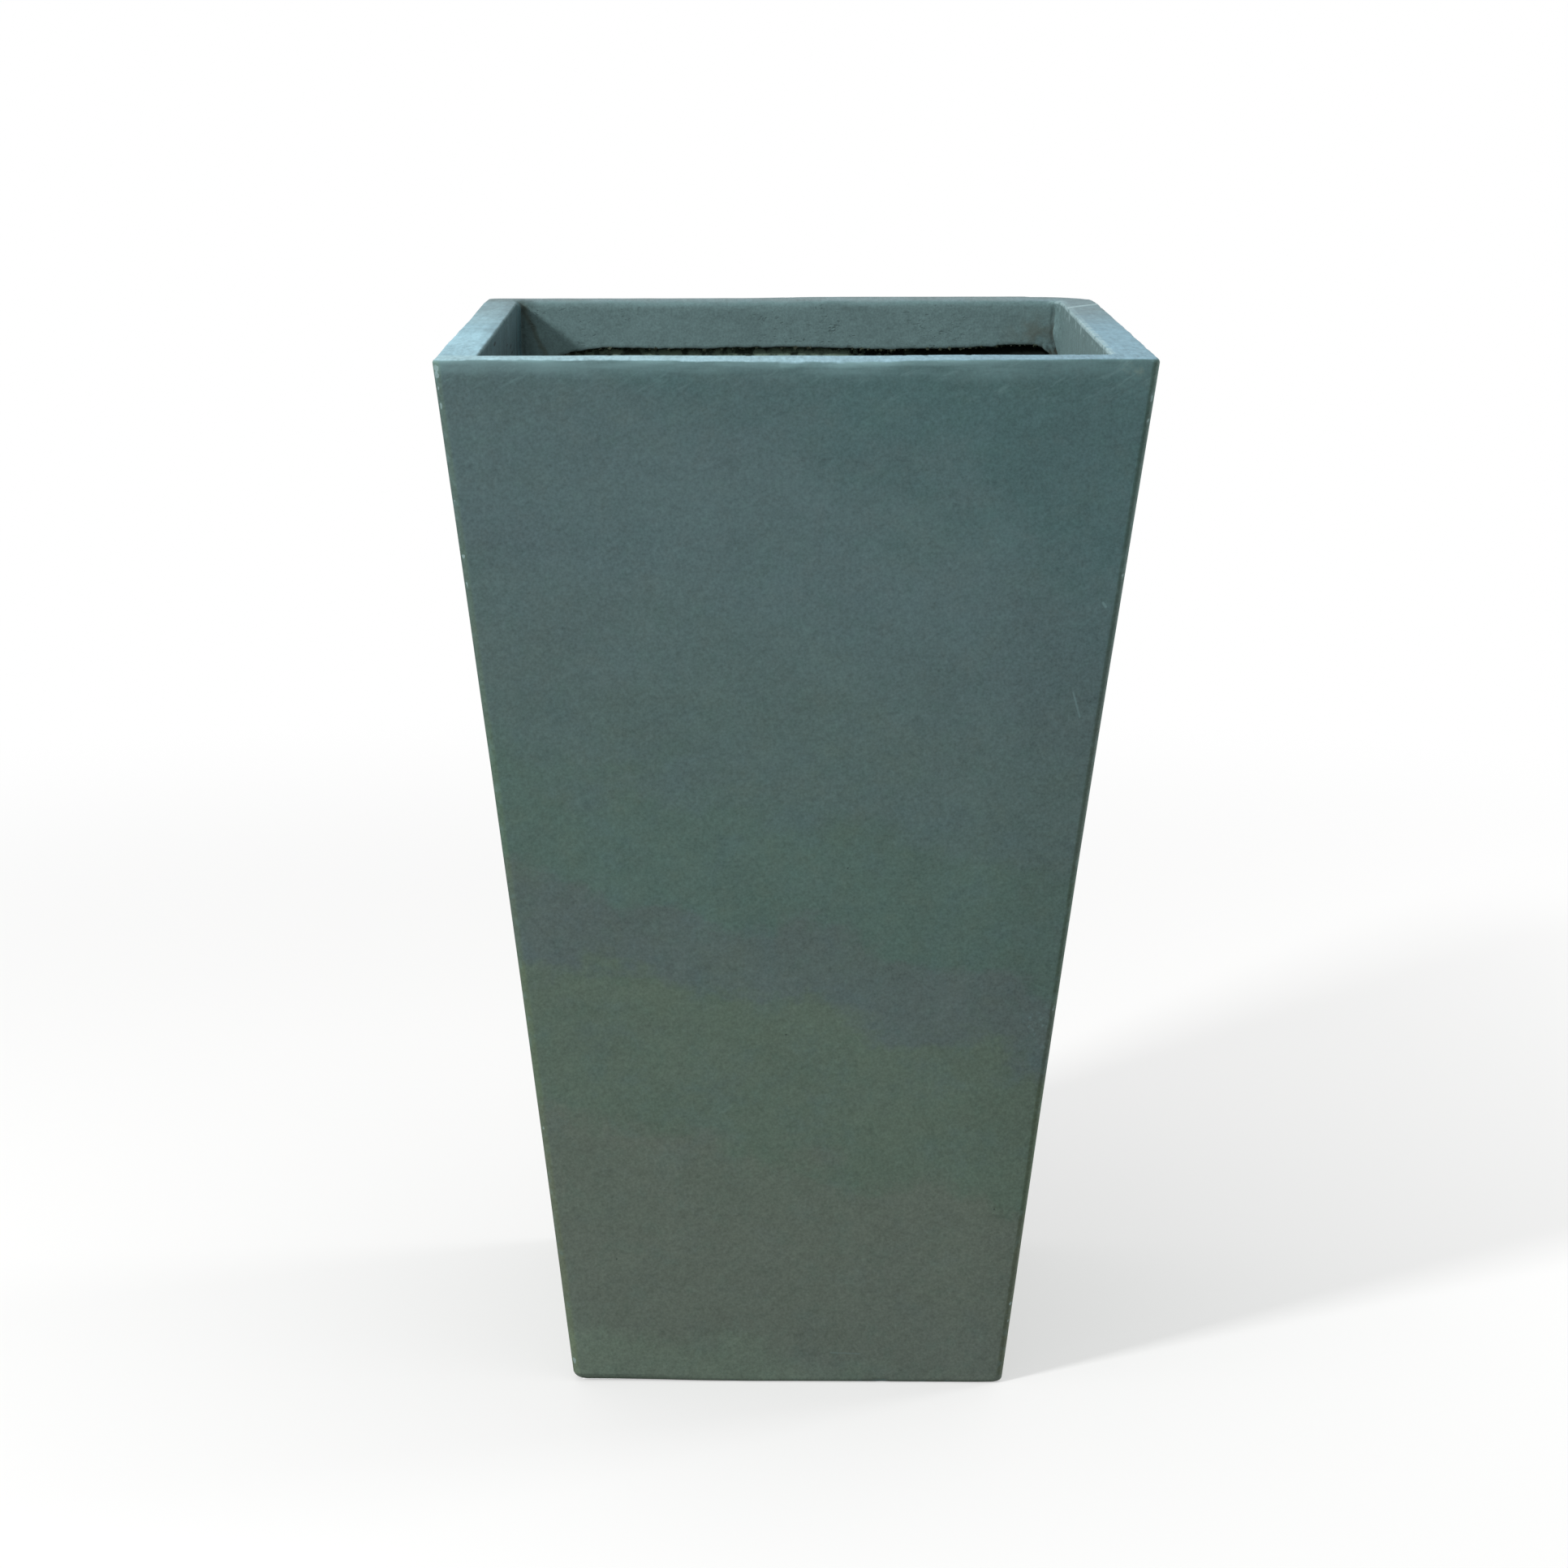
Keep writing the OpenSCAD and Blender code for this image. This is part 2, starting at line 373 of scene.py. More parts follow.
concrete = {
    # cast of the outside by zones of height, as shares of the whole: from, to, colour
    "zones": [
        (0.00, 0.00, rgb(94, 109, 97)),  # dusty foot
        (0.04, 0.22, rgb(90, 101, 92)),  # brownish
        (0.245, 0.375, rgb(84, 101, 90)),  # olive
        (0.395, 0.455, rgb(81, 96, 94)),  # purplish
        (0.475, 0.555, rgb(77, 99, 93)),  # green
        (0.59, 0.66, rgb(79, 99, 97)),  # slate
        (0.80, 0.86, rgb(80, 101, 103)),  # bluer slate
        (1.00, 1.00, rgb(76, 97, 99)),
    ],
    "fall": 0.235,  # how far the zones drop to the right, by width
    "drift": 110 * mm,  # how far they wander
    "fingers": 24 * mm,  # and fray
    "slant": 0.5,  # of the brush strokes, in radians
    # grain from broad to fine: share of lightness, height of relief
    "grains": {
        "mottle": (0.20, 0.12 * mm),
        "blot": (0.15, 0.08 * mm),
        "brush": (0.21, 0.05 * mm),
        "speck": (0.47, 0.05 * mm),
        "fine": (0.62, 0.015 * mm),
    },
    # colours laid over the zones
    "teal": rgb(68, 97, 98),
    "plum": rgb(80, 90, 98),
    "moss": rgb(70, 97, 83),
    "fresh": rgb(68, 104, 94),
    "ash": rgb(89, 95, 92),
    "blue": rgb(74, 98, 107),
    "olive": rgb(86, 99, 82),
    "edge": rgb(118, 150, 153),
    "pale": rgb(112, 142, 144),
    "warmPale": rgb(112, 124, 114),
    "pit": rgb(44, 60, 54),
    "arris": (0.94, 0.94, 0.80, 1),  # the upright edges take this over the colour beside them
    # rim and lip; the rim top's pale blue is partly dust and partly painted light from above with a painted
    # sky reflection, strongest on the left and in front
    "rimLeft": rgb(138, 173, 185),
    "rimFront": rgb(148, 181, 189),
    "rimRight": rgb(124, 157, 171),
    "rimBack": rgb(111, 129, 131),
    # the lip's lit faces are painted paler and its shaded left face darker and bluer: painted light and
    # painted shade
    "lip": rgb(95, 119, 120),
    "lipLeft": rgb(77, 108, 114),
    "chalk": rgb(158, 184, 188),
    "warm": rgb(92, 92, 78),
    "bits": rgb(48, 56, 45),
    # inside and floor
    "raw": rgb(116, 124, 114),
    "screed": rgb(118, 125, 116),
    # near black: damp, and painted shade under the lip and in corners
    "damp": rgb(14, 22, 18),
    "stain": rgb(64, 76, 68),
    "under": rgb(134, 156, 140),
    "crumb": rgb(72, 74, 56),
    "shine": 0.25,
}

# marks on the front, in millimetres: start and end as x and z, width, share of paleness
frontMarks = {
    "scratches": [
        ((154, 424), (158, 410), 0.8, 0.30),
        ((170, 473), (168.5, 475), 1.1, 0.45),
        ((25, 19.5), (42, 18.8), 0.7, 0.16),
    ],
    "rub": ((138, 229), (148, 217), 9, 0.4),
    "stain": ((175, 606), (183, 603), 4, 0.32),
}

# dark specks on the lip's left face, in millimetres: y, z, radius
lipSpecks = [(90, 586, 1.7), (104, 581, 1.2), (-46, 601, 1.5), (58, 590, 0.9)]


def castSkin(name):
    # colour, roughness and relief of the smooth outside, before any wear
    look = newLook(name)
    drift = look.ripple(0.075, 5, (1, 1, 1.8), 3.1, rough=0.6)
    fingers = look.ripple(0.011, 3, (1, 1, 0.35), 6.4)
    level = look.z + look.x * concrete["fall"] + drift * concrete["drift"] + fingers * concrete["fingers"]
    level = level / height
    stops = [(place, colour) for low, high, colour in concrete["zones"] for place in (low, high)]
    look.colour = look.node("ShaderNodeValToRGB", {"stops": stops}, {0: level})
    look.paint("teal", between(look.x * 0.5 + look.z + drift * 0.2, 0.53, 0.63) * 0.75)
    clouds = look.noise(0.13, 3, (1, 1, 1.5), 8.2)
    look.paint("plum", between(clouds, 0.52, 0.72) * 0.12)
    look.paint("moss", between(clouds, 0.46, 0.28) * 0.10)
    tint = look.noise(0.011, 5, shift=4.1, rough=0.62)
    cast = look.noise(0.024, 5, (1, 1, 1.2), 7.9, rough=0.65)
    middle = between(absolute(level - 0.44), 0.30, 0.12) * 0.08 + 0.06
    for patch, value, share in (("fresh", tint, 0.09), ("ash", 1 - tint, 0.08),
                                ("blue", cast, middle), ("olive", 1 - cast, middle)):
        look.paint(patch, between(value, 0.50, 0.68) * share)
    warped = look.place + look.noise(0.09, 2, shift=2.7) * 0.05
    turn = {"Vector": warped, "Angle": concrete["slant"]}
    look.slant = look.node("ShaderNodeVectorRotate", {"rotation_type": "Y_AXIS"}, turn)
    grains = {
        "mottle": look.ripple(0.045, 4, (1, 1, 1.3), 1.4),
        "blot": look.ripple(0.012, 3, shift=5.5),
        "brush": look.ripple(0.0045, 3, (0.35, 0.6, 1.6), 6.6, look.slant),
        "speck": look.ripple(0.0028, 3, shift=2.2),
        "fine": look.ripple(0.0014, 2, shift=9.7),
    }
    look.tone = sum(grain * concrete["grains"][key][0] for key, grain in grains.items())
    # the front is duller toward both sides, the right one most of all low down
    high = between(look.z, 0.46, 0.50)
    look.tone = look.tone - look.zone(x=(0.09, 0.14), y=(-0.06, -0.12)) * (0.085 - high * 0.065)
    look.tone = look.tone - look.zone(x=(-0.08, -0.15), y=(-0.06, -0.12)) * (high * 0.02 + 0.012)
    look.lighten(look.tone)
    look.rough = look.noise(0.02, 3, shift=4.4) * 0.16 + grains["speck"] * 0.14 + 0.76
    look.relief = sum(grain * concrete["grains"][key][1] for key, grain in grains.items())
    return look


def brokenEdges(look):
    return between(look.mark("broken") + look.ripple(0.0015, 2, shift=8.8) * 0.5, 0.35, 0.65)


def addWearAndShade(look):
    # the paler trowelled band under the top edge, with slanting lines
    wave = look.ripple(0.06, 3, (1, 1, 0.2), 2.9) * (14 * mm)
    band = between(look.z + wave, jointZ - 3 * mm, jointZ + 12 * mm) * between(look.x, 0.27, 0.02)
    look.paint("edge", band * look.patches(0.20, 0.70, 0.006, 4, (0.14, 0.14, 1.2), 7.3) * 0.86)
    lines = look.patches(0.56, 0.76, 0.0035, 3, (0.22, 0.3, 1.2), 1.2, look.slant)
    look.paint("pale", lines * between(look.z + wave, jointZ - 26 * mm, jointZ + 2 * mm) * 0.30)
    # pinholes and flecks, then the few marks on the front
    hole = between(look.cells(0.021, 1.7), 0.030, 0.018) * look.patches(0.56, 0.60, 0.03, 1, shift=12.5)
    fleck = between(look.cells(0.034, 6.1), 0.020, 0.010) * look.patches(0.50, 0.54, 0.05, 1, shift=3.3)
    look.paint("pit", hole * 0.6)
    look.paint("pale", fleck * 0.4)
    marks = look.stroke(*frontMarks["rub"]) * look.patches(0.52, 0.75, 0.003, 3, shift=4.9)
    for scratch in frontMarks["scratches"]:
        marks = most(marks, look.stroke(*scratch))
    look.paint("warmPale", look.stroke(*frontMarks["stain"]) * look.patches(0.35, 0.6, 0.004, 3, shift=7.4))
    look.paint("pale", marks)
    # upright edges: greener, chalky where they are broken or rubbed; darker along the front right one, a
    # painted shade where it turns from the light, and a little paler beside it and near its top
    edge = look.mark("edge")
    look.paint("arris", edge, "MULTIPLY")
    brow = between(edge, 0.01, 0.15) * between(edge, 0.45, 0.25)
    topRight = look.zone(z=(0.580, 0.594), x=(0.169, 0.177))
    frontRight = look.zone(x=(0.10, 0.12), y=(-0.10, -0.12))
    # painted shade along the front right upright edge
    look.lighten(frontRight * (brow * 0.08 - between(edge, 0.25, 0.60) * 0.10 + topRight * 0.09))
    chip = brokenEdges(look)
    look.paint("chalk", chip * 0.38)
    look.paint("pale", edge * look.patches(0.52, 0.75, 0.006, 4, shift=2.6) * 0.22)
    look.rough = look.rough + chip * 0.1 - edge * 0.06
    crumbled = chip * (look.noise(0.0009, 2, shift=3.9) * (0.12 * mm))
    look.relief = look.relief - hole * (0.35 * mm) - marks * (0.03 * mm) + crumbled


def faceLook():
    look = castSkin("faceConcrete")
    addWearAndShade(look)
    return look.finish(concrete["shine"])


def paintRimTop(look):
    # the flat top has dried pale, and is painted paler and bluer still as painted light from above and a
    # painted sky reflection: bluer in front and greyer along the back
    top = blend(concrete["rimLeft"], concrete["rimRight"], between(look.x, -0.17, 0.17))
    top = blend(top, concrete["rimFront"], look.zone(y=(-0.168, -0.172), x=(0.14, -0.14)))
    top = blend(top, concrete["rimBack"], clip(look.mark("grey") + look.ripple(0.02, 3, shift=5.2) * 0.5))
    top = blend(top, concrete["chalk"], look.mark("ridge") * 0.85)
    # on the left it is paler from the middle on, with a chalky smear across; it is darker toward the front,
    # and along the inner edge, where it is painted shade as that edge turns from the light
    across = look.y + look.ripple(0.008, 3, (1, 0.4, 1), 4.7) * (9 * mm)
    smear = between(across, -0.038, -0.050) * between(across, -0.130, -0.092)
    paler = between(across, 0.108, 0.084) * between(across, -0.030, 0.045)
    outermost = between(look.x, -0.180, -0.190)
    # painted shade along the left rim's inner edge, then darker toward the front
    dullerAndShaded = between(look.x, -0.181, -0.1755) * between(across, -0.110, -0.070) * 0.20
    dullerAndShaded = dullerAndShaded + between(across, -0.140, -0.175) * 0.09
    leftTone = smear * 0.17 + paler * (outermost * 0.06 + 0.09) - dullerAndShaded
    top = shade(top, between(look.x, -0.168, -0.171) * leftTone)
    # clouds, and a frosted grain drawn out from front to back, strongest in the front corners
    patch = look.ripple(0.035, 4, shift=6.3)
    cloud = look.noise(0.012, 4, shift=7.7)
    grit = look.ripple(0.003, 3, shift=1.9)
    blue = look.zone(x=(-0.150, -0.176), y=(-0.02, -0.15))
    clouded = patch * 0.34 - between(cloud, 0.58, 0.76) * 0.12 + between(cloud, 0.44, 0.30) * 0.08
    clouded = clouded + blue * 0.06
    frost = look.ripple(0.0024, 4, (1, 0.20, 1), 8.8, rough=0.6)
    spots = look.patches(0.60, 0.72, 0.004, 3, (1, 0.28, 1), 5.6)
    nearFront = between(look.y, -0.02, -0.15)
    clouded = clouded + grit * 0.30 + frost * (nearFront * 0.30 + 0.65)
    top = shade(top, clouded - spots * (nearFront * 0.08 + 0.08))
    onTop = between(look.mark("top") + look.ripple(0.008, 3, shift=2.3) * 0.55, 0.35, 0.75)
    look.paint(top, onTop)
    look.rough = look.rough - onTop * 0.04
    look.relief = look.relief + onTop * (grit * (0.07 * mm) + patch * (0.12 * mm))


def paintLip(look):
    # the lip's own face inside is trowelled by hand: coarser, with torn pits; its lit faces are painted paler
    # and the shaded left face darker, bluer and darker toward the bottom, as painted light and painted shade
    inside = look.mark("inside")
    back = inside * between(look.y, 0.1670, 0.1700)
    left = inside * between(look.x, -0.1680, -0.1705) * (1 - back)
    right = inside * between(look.x, 0.1620, 0.1640) * (1 - back)
    runs = look.ripple(0.009, 3, (1, 1, 0.12), 4.7)
    look.paint(shade(concrete["lip"], look.tone), inside)
    # painted shade: the left face darker toward the bottom
    low = between(look.z, 0.602, 0.582) * -0.30
    look.paint(shade(concrete["lipLeft"], look.tone + runs * 1.1 + low), left)
    # painted light: lightens the part of the back face that lies in the left side's cast shadow
    look.lighten(back * between(look.x + look.z * 1.533, 0.762, 0.754) * 0.28)
    for y, z, radius in lipSpecks:
        speck = between(hypot((look.y - y * mm) * 0.14, look.z - z * mm), radius * mm, radius * 0.5 * mm)
        look.paint("damp", left * speck * 0.7)
    # chalky flakes near the top of the right face, and a pale line along its top edge: chalky wear and a
    # painted highlight
    flaked = look.patches(0.56, 0.66, 0.012, 4, (1, 1, 1.6), 3.6) * between(look.z, 0.600, 0.605)
    line = between(look.z, 0.6068, 0.6084) * look.patches(0.30, 0.55, 0.007, 3, shift=5.9)
    look.paint("chalk", right * most(flaked * 0.35, line * 0.85))
    blotch = look.ripple(0.006, 4, (1, 1, 0.8), 5.1, rough=0.65)
    # painted light on the lit right face, with blotches and runs
    look.lighten(right * (blotch * 0.45 + runs * 0.10 + 0.10))
    ruin = back * look.zone(x=(0.142, 0.154), z=(0.586, 0.577))
    look.paint("damp", ruin * look.patches(0.42, 0.58, 0.004, 4, (1, 1, 0.6), 3.1) * 0.75)
    coarse = look.ripple(0.0045, 5, (1, 1, 1.4), 8.1, rough=0.68)
    torn = look.patches(0.60, 0.72, 0.0035, 3, (1, 1, 1.8), 3.7)
    torn = torn * look.patches(0.42, 0.62, 0.04, 2, shift=9.1)
    look.lighten(inside * (coarse * (between(look.x, -0.02, 0.10) * 0.20 + 0.24) - torn * 0.20))
    look.relief = look.relief + inside * (coarse * (0.20 * mm) - torn * (0.24 * mm))
    # a painted shadow: a dark wedge at the back left corner with a brown line along its edge; an old warm
    # stain at the back right
    ragged = look.ripple(0.007, 3, shift=6.1) * (4 * mm)
    paintedShadowWedge = look.x + 172 * mm - (608 * mm - look.z) * 0.45 + ragged
    look.lighten(back * between(paintedShadowWedge, 0.5 * mm, -0.7 * mm) * -0.16)
    look.paint("crumb", back * between(absolute(paintedShadowWedge + ragged * 0.4), 3.2 * mm, 0.3 * mm) * 0.50)
    warm = look.zone(x=(0.128, 0.158), z=(0.606, 0.588)) * look.patches(0.35, 0.6, 0.012, 3, shift=2.8)
    look.paint("warm", back * warm * 0.45)
    look.lighten(back * (warm * -0.14 - look.zone(x=(0.148, 0.160), z=(0.595, 0.586)) * 0.12))
    # painted shade: the back left inner corner darkened with the near black colour
    nookShade = between(hypot(look.x + 168 * mm, look.y - 170 * mm), 9 * mm, 2 * mm)
    look.paint("damp", nookShade * (between(look.z, 0.600, 0.606) * 0.20 + 0.22))
    # the right side's inner edge is painted pale, most of all toward the front: chalky wear, and a painted
    # highlight where the edge catches the light
    brink = look.zone(x=(0.1692, 0.1702), z=(0.6068, 0.6078)) * between(look.x, 0.1738, 0.1726)
    brink = brink * between(absolute(look.y), 0.172, 0.170)
    worn = look.patches(0.36, 0.56, 0.010, 3, shift=3.8) * (between(look.y, 0.11, -0.02) * 0.35 + 0.30)
    look.paint("chalk", brink * worn)
    # painted shade: the lip's corner creases darkened with the near black colour
    look.paint("damp", look.mark("crease") * 0.42)


def paintDampAndShade(look):
    # under the lip, where water stands, it is nearly black, damp and painted shade together, with loose bits
    # of mortar
    damp = look.mark("damp")
    damp = clip(damp + look.ripple(0.005, 3, shift=4.2) * 0.6 * damp)
    loose = look.mark("loose")
    crumbs = look.patches(0.54, 0.66, 0.0035, 3, shift=6.9)
    look.paint(blend(concrete["damp"], concrete["crumb"], crumbs * 0.55), damp)
    look.paint(shade(concrete["bits"], look.ripple(0.003, 3, shift=1.9) * 1.2), loose)
    look.rough = look.rough - damp * (1 - loose) * 0.12


def rimLook():
    look = castSkin("rimConcrete")
    addWearAndShade(look)
    paintRimTop(look)
    paintLip(look)
    paintDampAndShade(look)
    return look.finish(concrete["shine"])


def backingLook():
    # the inside of the wall, pressed on by hand over the glass: coarse, stained, and darkest under the lip,
    # where the darkness is partly painted shade
    look = castSkin("backingConcrete")
    skin = look.colour
    lumps = look.ripple(0.018, 4, (1, 1, 0.8), 2.4)
    grit = look.ripple(0.0035, 4, shift=7.2)
    look.colour = shade(concrete["raw"], lumps * 0.5 + grit * 0.35)
    warped = look.place + look.noise(0.05, 2, shift=1.1) * 0.02
    thread = look.patches(0.64, 0.70, 0.009, 3, (0.16, 0.16, 2.2), 3.3, warped)
    thread = thread * look.patches(0.45, 0.6, 0.05, 2, shift=5.8)
    look.paint("pale", thread * 0.16)
    look.paint("crumb", look.patches(0.45, 0.7, 0.07, 4, (1, 1, 0.35), 9.4) * 0.35)
    # a dark band under the lip: partly stain, partly painted shade
    below = between(look.z + look.ripple(0.02, 3, (1, 1, 0.4), 1.6) * (50 * mm), 0.535, 0.572)
    stainAndShade = blend(concrete["stain"], concrete["damp"], look.patches(0.40, 0.75, 0.014, 4, shift=6.4) * 0.6)
    look.paint(shade(stainAndShade, grit * 0.5), below * 0.8)
    # the strip close under the lip, in the lip's shadow, is painted paler to the left and near black to the
    # right: painted light and painted shade
    black = clip(look.patches(0.44, 0.62, 0.006, 3, shift=5.4) * 0.8 + between(look.x, 0.02, 0.09))
    look.paint(blend(concrete["under"], concrete["damp"], black), between(look.z, 0.567, 0.571))
    low = between(look.z + look.ripple(0.05, 3, shift=8.6) * (40 * mm), 0.085, 0.035)
    look.paint("under", low * 0.5)
    outside = look.mark("outside")
    look.paint(skin, outside)
    look.paint("pale", brokenEdges(look) * 0.4)
    inward = 1 - outside
    look.rough = look.rough + inward * 0.08 - low * 0.1
    look.relief = look.relief + inward * (lumps * (0.9 * mm) + grit * (0.35 * mm) + thread * (0.15 * mm))
    return look.finish(concrete["shine"])


def screedLook():
    # the floor inside: floated smooth, with a water stain round the hole
    look = newLook("floorConcrete")
    reach = hypot(look.x, look.y)
    lumps = look.ripple(0.02, 4, shift=3.5)
    grit = look.ripple(0.003, 3, shift=1.3)
    swirl = look.ripple(0.012, 2, (0.4, 1.5, 1), 6.4)
    look.colour = shade(concrete["screed"], lumps * 0.3 + grit * 0.25)
    tideMark = between(absolute(reach + lumps * 0.03 - 0.062), 0.012, 0.002)
    pool = between(reach + lumps * 0.05, 0.075, 0.035)
    look.paint("crumb", clip(tideMark * 0.5 + pool * 0.3))
    look.paint("damp", between(look.mark("edge"), 0.2, 0.9) * 0.55)
    look.rough = look.noise(0.02, 3, shift=4.4) * 0.16 + look.ripple(0.0028, 3, shift=2.2) * 0.14 + 0.76
    look.rough = look.rough - pool * 0.18
    look.relief = lumps * (0.35 * mm) + grit * (0.08 * mm) + swirl * (0.12 * mm)
    return look.finish(concrete["shine"])


glass = {"pitch": 4.5 * mm, "cloth": rgb(196, 200, 188), "slurry": rgb(120, 132, 126), "shine": 0.4}


def glassLook():
    # alkali-proof glass cloth soaked in slurry: two sets of yarns over and under
    look = newLook("glassMat")
    ways = [(look.x + look.y) / glass["pitch"], look.z / glass["pitch"]]
    waves = [look.node("ShaderNodeMath", {"operation": "SINE"}, {0: way * math.pi}) for way in ways]
    ridges = [absolute(wave) for wave in waves]
    over = between(waves[0] * waves[1], -0.15, 0.15)
    yarn = most(ridges[0] * (1 - over * 0.35), ridges[1] * (0.65 + over * 0.35))
    fibre = look.ripple(0.0006, 3, (1, 1, 0.3), 2.2)
    slurry = look.patches(0.40, 0.62, 0.02, 4, shift=5.1)
    look.colour = blend(glass["cloth"], glass["slurry"], slurry * 0.7)
    look.lighten(fibre * 0.25 - between(yarn, 0.42, 0.22) * 0.45)
    look.rough = look.noise(0.01, 2, shift=3.4) * 0.2 + 0.45 + slurry * 0.25
    look.relief = yarn * (0.35 * mm) + fibre * (0.03 * mm)
    return look.finish(glass["shine"])


rubber = {"black": rgb(27, 28, 28), "bloom": rgb(70, 72, 68), "dust": rgb(120, 124, 112), "shine": 0.45}


def rubberLook():
    # black rubber with a grey bloom, a little dust and a mould seam
    look = newLook("plugRubber")
    bloom = look.patches(0.48, 0.72, 0.008, 4, shift=3.2)
    grain = look.ripple(0.0006, 2, shift=1.7)
    dust = look.patches(0.60, 0.75, 0.0016, 3, shift=6.2)
    seam = between(absolute(look.y), 0.5 * mm, 0.15 * mm)
    look.colour = blend(rubber["black"], rubber["bloom"], bloom * 0.35)
    look.paint(rubber["dust"], dust * 0.18)
    look.rough = 0.48 + bloom * 0.22 + grain * 0.1
    look.relief = grain * (0.02 * mm) + seam * (0.10 * mm) + dust * (0.02 * mm)
    return look.finish(rubber["shine"])


faceConcrete = faceLook()
rimConcrete = rimLook()
backingConcrete = backingLook()
floorConcrete = screedLook()
glassMat = glassLook()
plugRubber = rubberLook()
print("materials made")


# How the outside has moved away from the straight form of the mould

outside = {
    "turn": 5 * mm,  # radius of the upright edges
    "turnSpread": 0.9 * mm,
    "bow": {"front": 1.0 * mm, "right": 1.7 * mm, "back": 1.2 * mm, "left": 0.9 * mm},
    "dents": [(0.30 * mm, 0.12, 3), (0.10 * mm, 0.028, 5)],  # depth, size, seed
    "twist": {"right": 1.3 * mm, "left": 0.5 * mm},  # the sides stand in a little at the top, toward the back
    "footTurn": 2.2 * mm,
    "footLeft": 6.0 * mm,  # the front left foot corner is rubbed round
    "footRight": 2.8 * mm,
    # broken places seen on the front's upright edges, in millimetres: height, radius, depth
    "leftChips": [(579.5, 1.5, 0.5), (583, 1.7, 0.5), (591.5, 1.4, 0.4), (601, 1.7, 0.5)],
    "rightChips": [(236, 3.2, 1.3)],
    # scattered ones, on each upright, top and foot edge
    "scattered": {"upright": 16, "frontLeft": 20, "top": 6, "foot": 14},
    "seed": 7,
}


def settleOutside(points, columns):
    # sides bow in a little at mid height and have shallow dents; nothing goes out past the CAD face
    x, y, z = points[..., 0].copy(), points[..., 1].copy(), points[..., 2]
    half = outerHalf(z)
    bow = outside["bow"]
    swell = np.sin(np.pi * np.clip(z / height, 0, 1))
    points[..., 0] -= x / half * swell * np.where(x > 0, bow["right"], bow["left"])
    points[..., 1] -= y / half * swell * np.where(y > 0, bow["back"], bow["front"])
    toBack = np.clip((y + 0.15) / 0.34, 0, 1) * rise(z, 0.42, height)
    twist = np.where(x > 0, outside["twist"]["right"], outside["twist"]["left"])
    points[..., 0] -= x / half * twist * toBack
    points[..., :2] -= columns["out"] * hills(points, outside["dents"])[..., None]


def uprightTurn(columns, z):
    # the radius of the upright edges wanders along their height
    places = np.empty((len(z), len(columns["base"]), 3))
    places[..., :2] = np.sign(columns["base"]) * 0.2
    places[..., 2] = z[:, None]
    return outside["turn"] + outside["turnSpread"] * wobble(places, 0.05, 11)


def edgeChips():
    # places where the arrises are broken: centre, radius, depth and direction of each
    random = np.random.default_rng(outside["seed"])
    chips = []

    def chip(x, y, z, radius, depth, inward):
        chips.append((np.array([x, y, z]), radius, depth, np.array(inward)))

    count = outside["scattered"]
    for cornerX, cornerY in itertools.product((-1, 1), (-1, 1)):
        edge = "frontLeft" if (cornerX, cornerY) == (-1, -1) else "upright"
        for z in random.uniform(0.01, 0.605, count[edge]):
            at = outerHalf(z) - 1.4 * mm
            radius = random.uniform(1.0, 2.6) * mm
            inward = (-cornerX * 0.7, -cornerY * 0.7, random.uniform(-0.3, 0.3) * 0.7)
            chip(cornerX * at, cornerY * at, z, radius, radius * random.uniform(0.15, 0.35), inward)
    for side, seen in ((-1, outside["leftChips"]), (1, outside["rightChips"])):
        for z, radius, depth in seen:
            at = outerHalf(z * mm) - 1.2 * mm
            chip(side * at, -at, z * mm, radius * mm, depth * mm, (-side * 0.7, 0.7, 0))
    for k in range(4):
        # none along the front's top edge, and smaller ones along its foot
        top = (count["top"] if k else 0, height, height - 2.2 * mm, (1.4, 2.8), (0.10, 0.20), 1, -0.7)
        foot = (count["foot"], 0, 0.6 * mm, (1.5, 4.0), (0.15, 0.35), 1 if k else 0.5, 0.5)
        for number, level, z, radii, depths, scale, upward in (top, foot):
            for s in random.uniform(-0.98, 0.98, number):
                at = outerHalf(level) - 0.6 * mm
                radius = random.uniform(*radii) * mm * scale
                depth = radius * random.uniform(*depths)
                spot = sideOut[k] * at + sideAlong[k] * s * at
                chip(*spot, z, radius, depth, (*-sideOut[k] * 0.7, upward))
    return chips


chips = edgeChips()


# Face coat: the fine outer skin, 3 mm of it

faceCoat = {
    "step": 6 * mm,
    "endStep": 1.0 * mm,
    "endWidth": 9 * mm,
    "turnSteps": 9,
    "rowStep": 2.2 * mm,
    "thick": 3 * mm,
    "innerTurn": 2.2 * mm,
}


def makeFaceCoat():
    s = faceCoat
    columns = ringColumns(outerHalf(jointZ), s)
    z = np.linspace(footZ, jointZ, round((jointZ - footZ) / s["rowStep"]) + 1)
    skin = ringPoints(columns, outerHalf(z), uprightTurn(columns, z), z)
    settleOutside(skin, columns)
    broken = bite(skin, chips)
    back = np.array([jointZ, 0.5 * (jointZ + footZ), footZ])
    hidden = ringPoints(columns, outerHalf(back) - s["thick"], np.full(len(back), s["innerTurn"]), back)
    points = np.concatenate([skin, hidden])
    pad = np.zeros(hidden.shape[:2])
    edge = np.concatenate([edgeMark(columns, len(z)), pad])
    marks = {"broken": np.concatenate([broken, pad]), "edge": edge}
    makePiece("faceCoat", points, "planter", "face_coat", faceConcrete, marks)


makeFaceCoat()


# Rim and lip: cast on last, flush outside, hanging inside

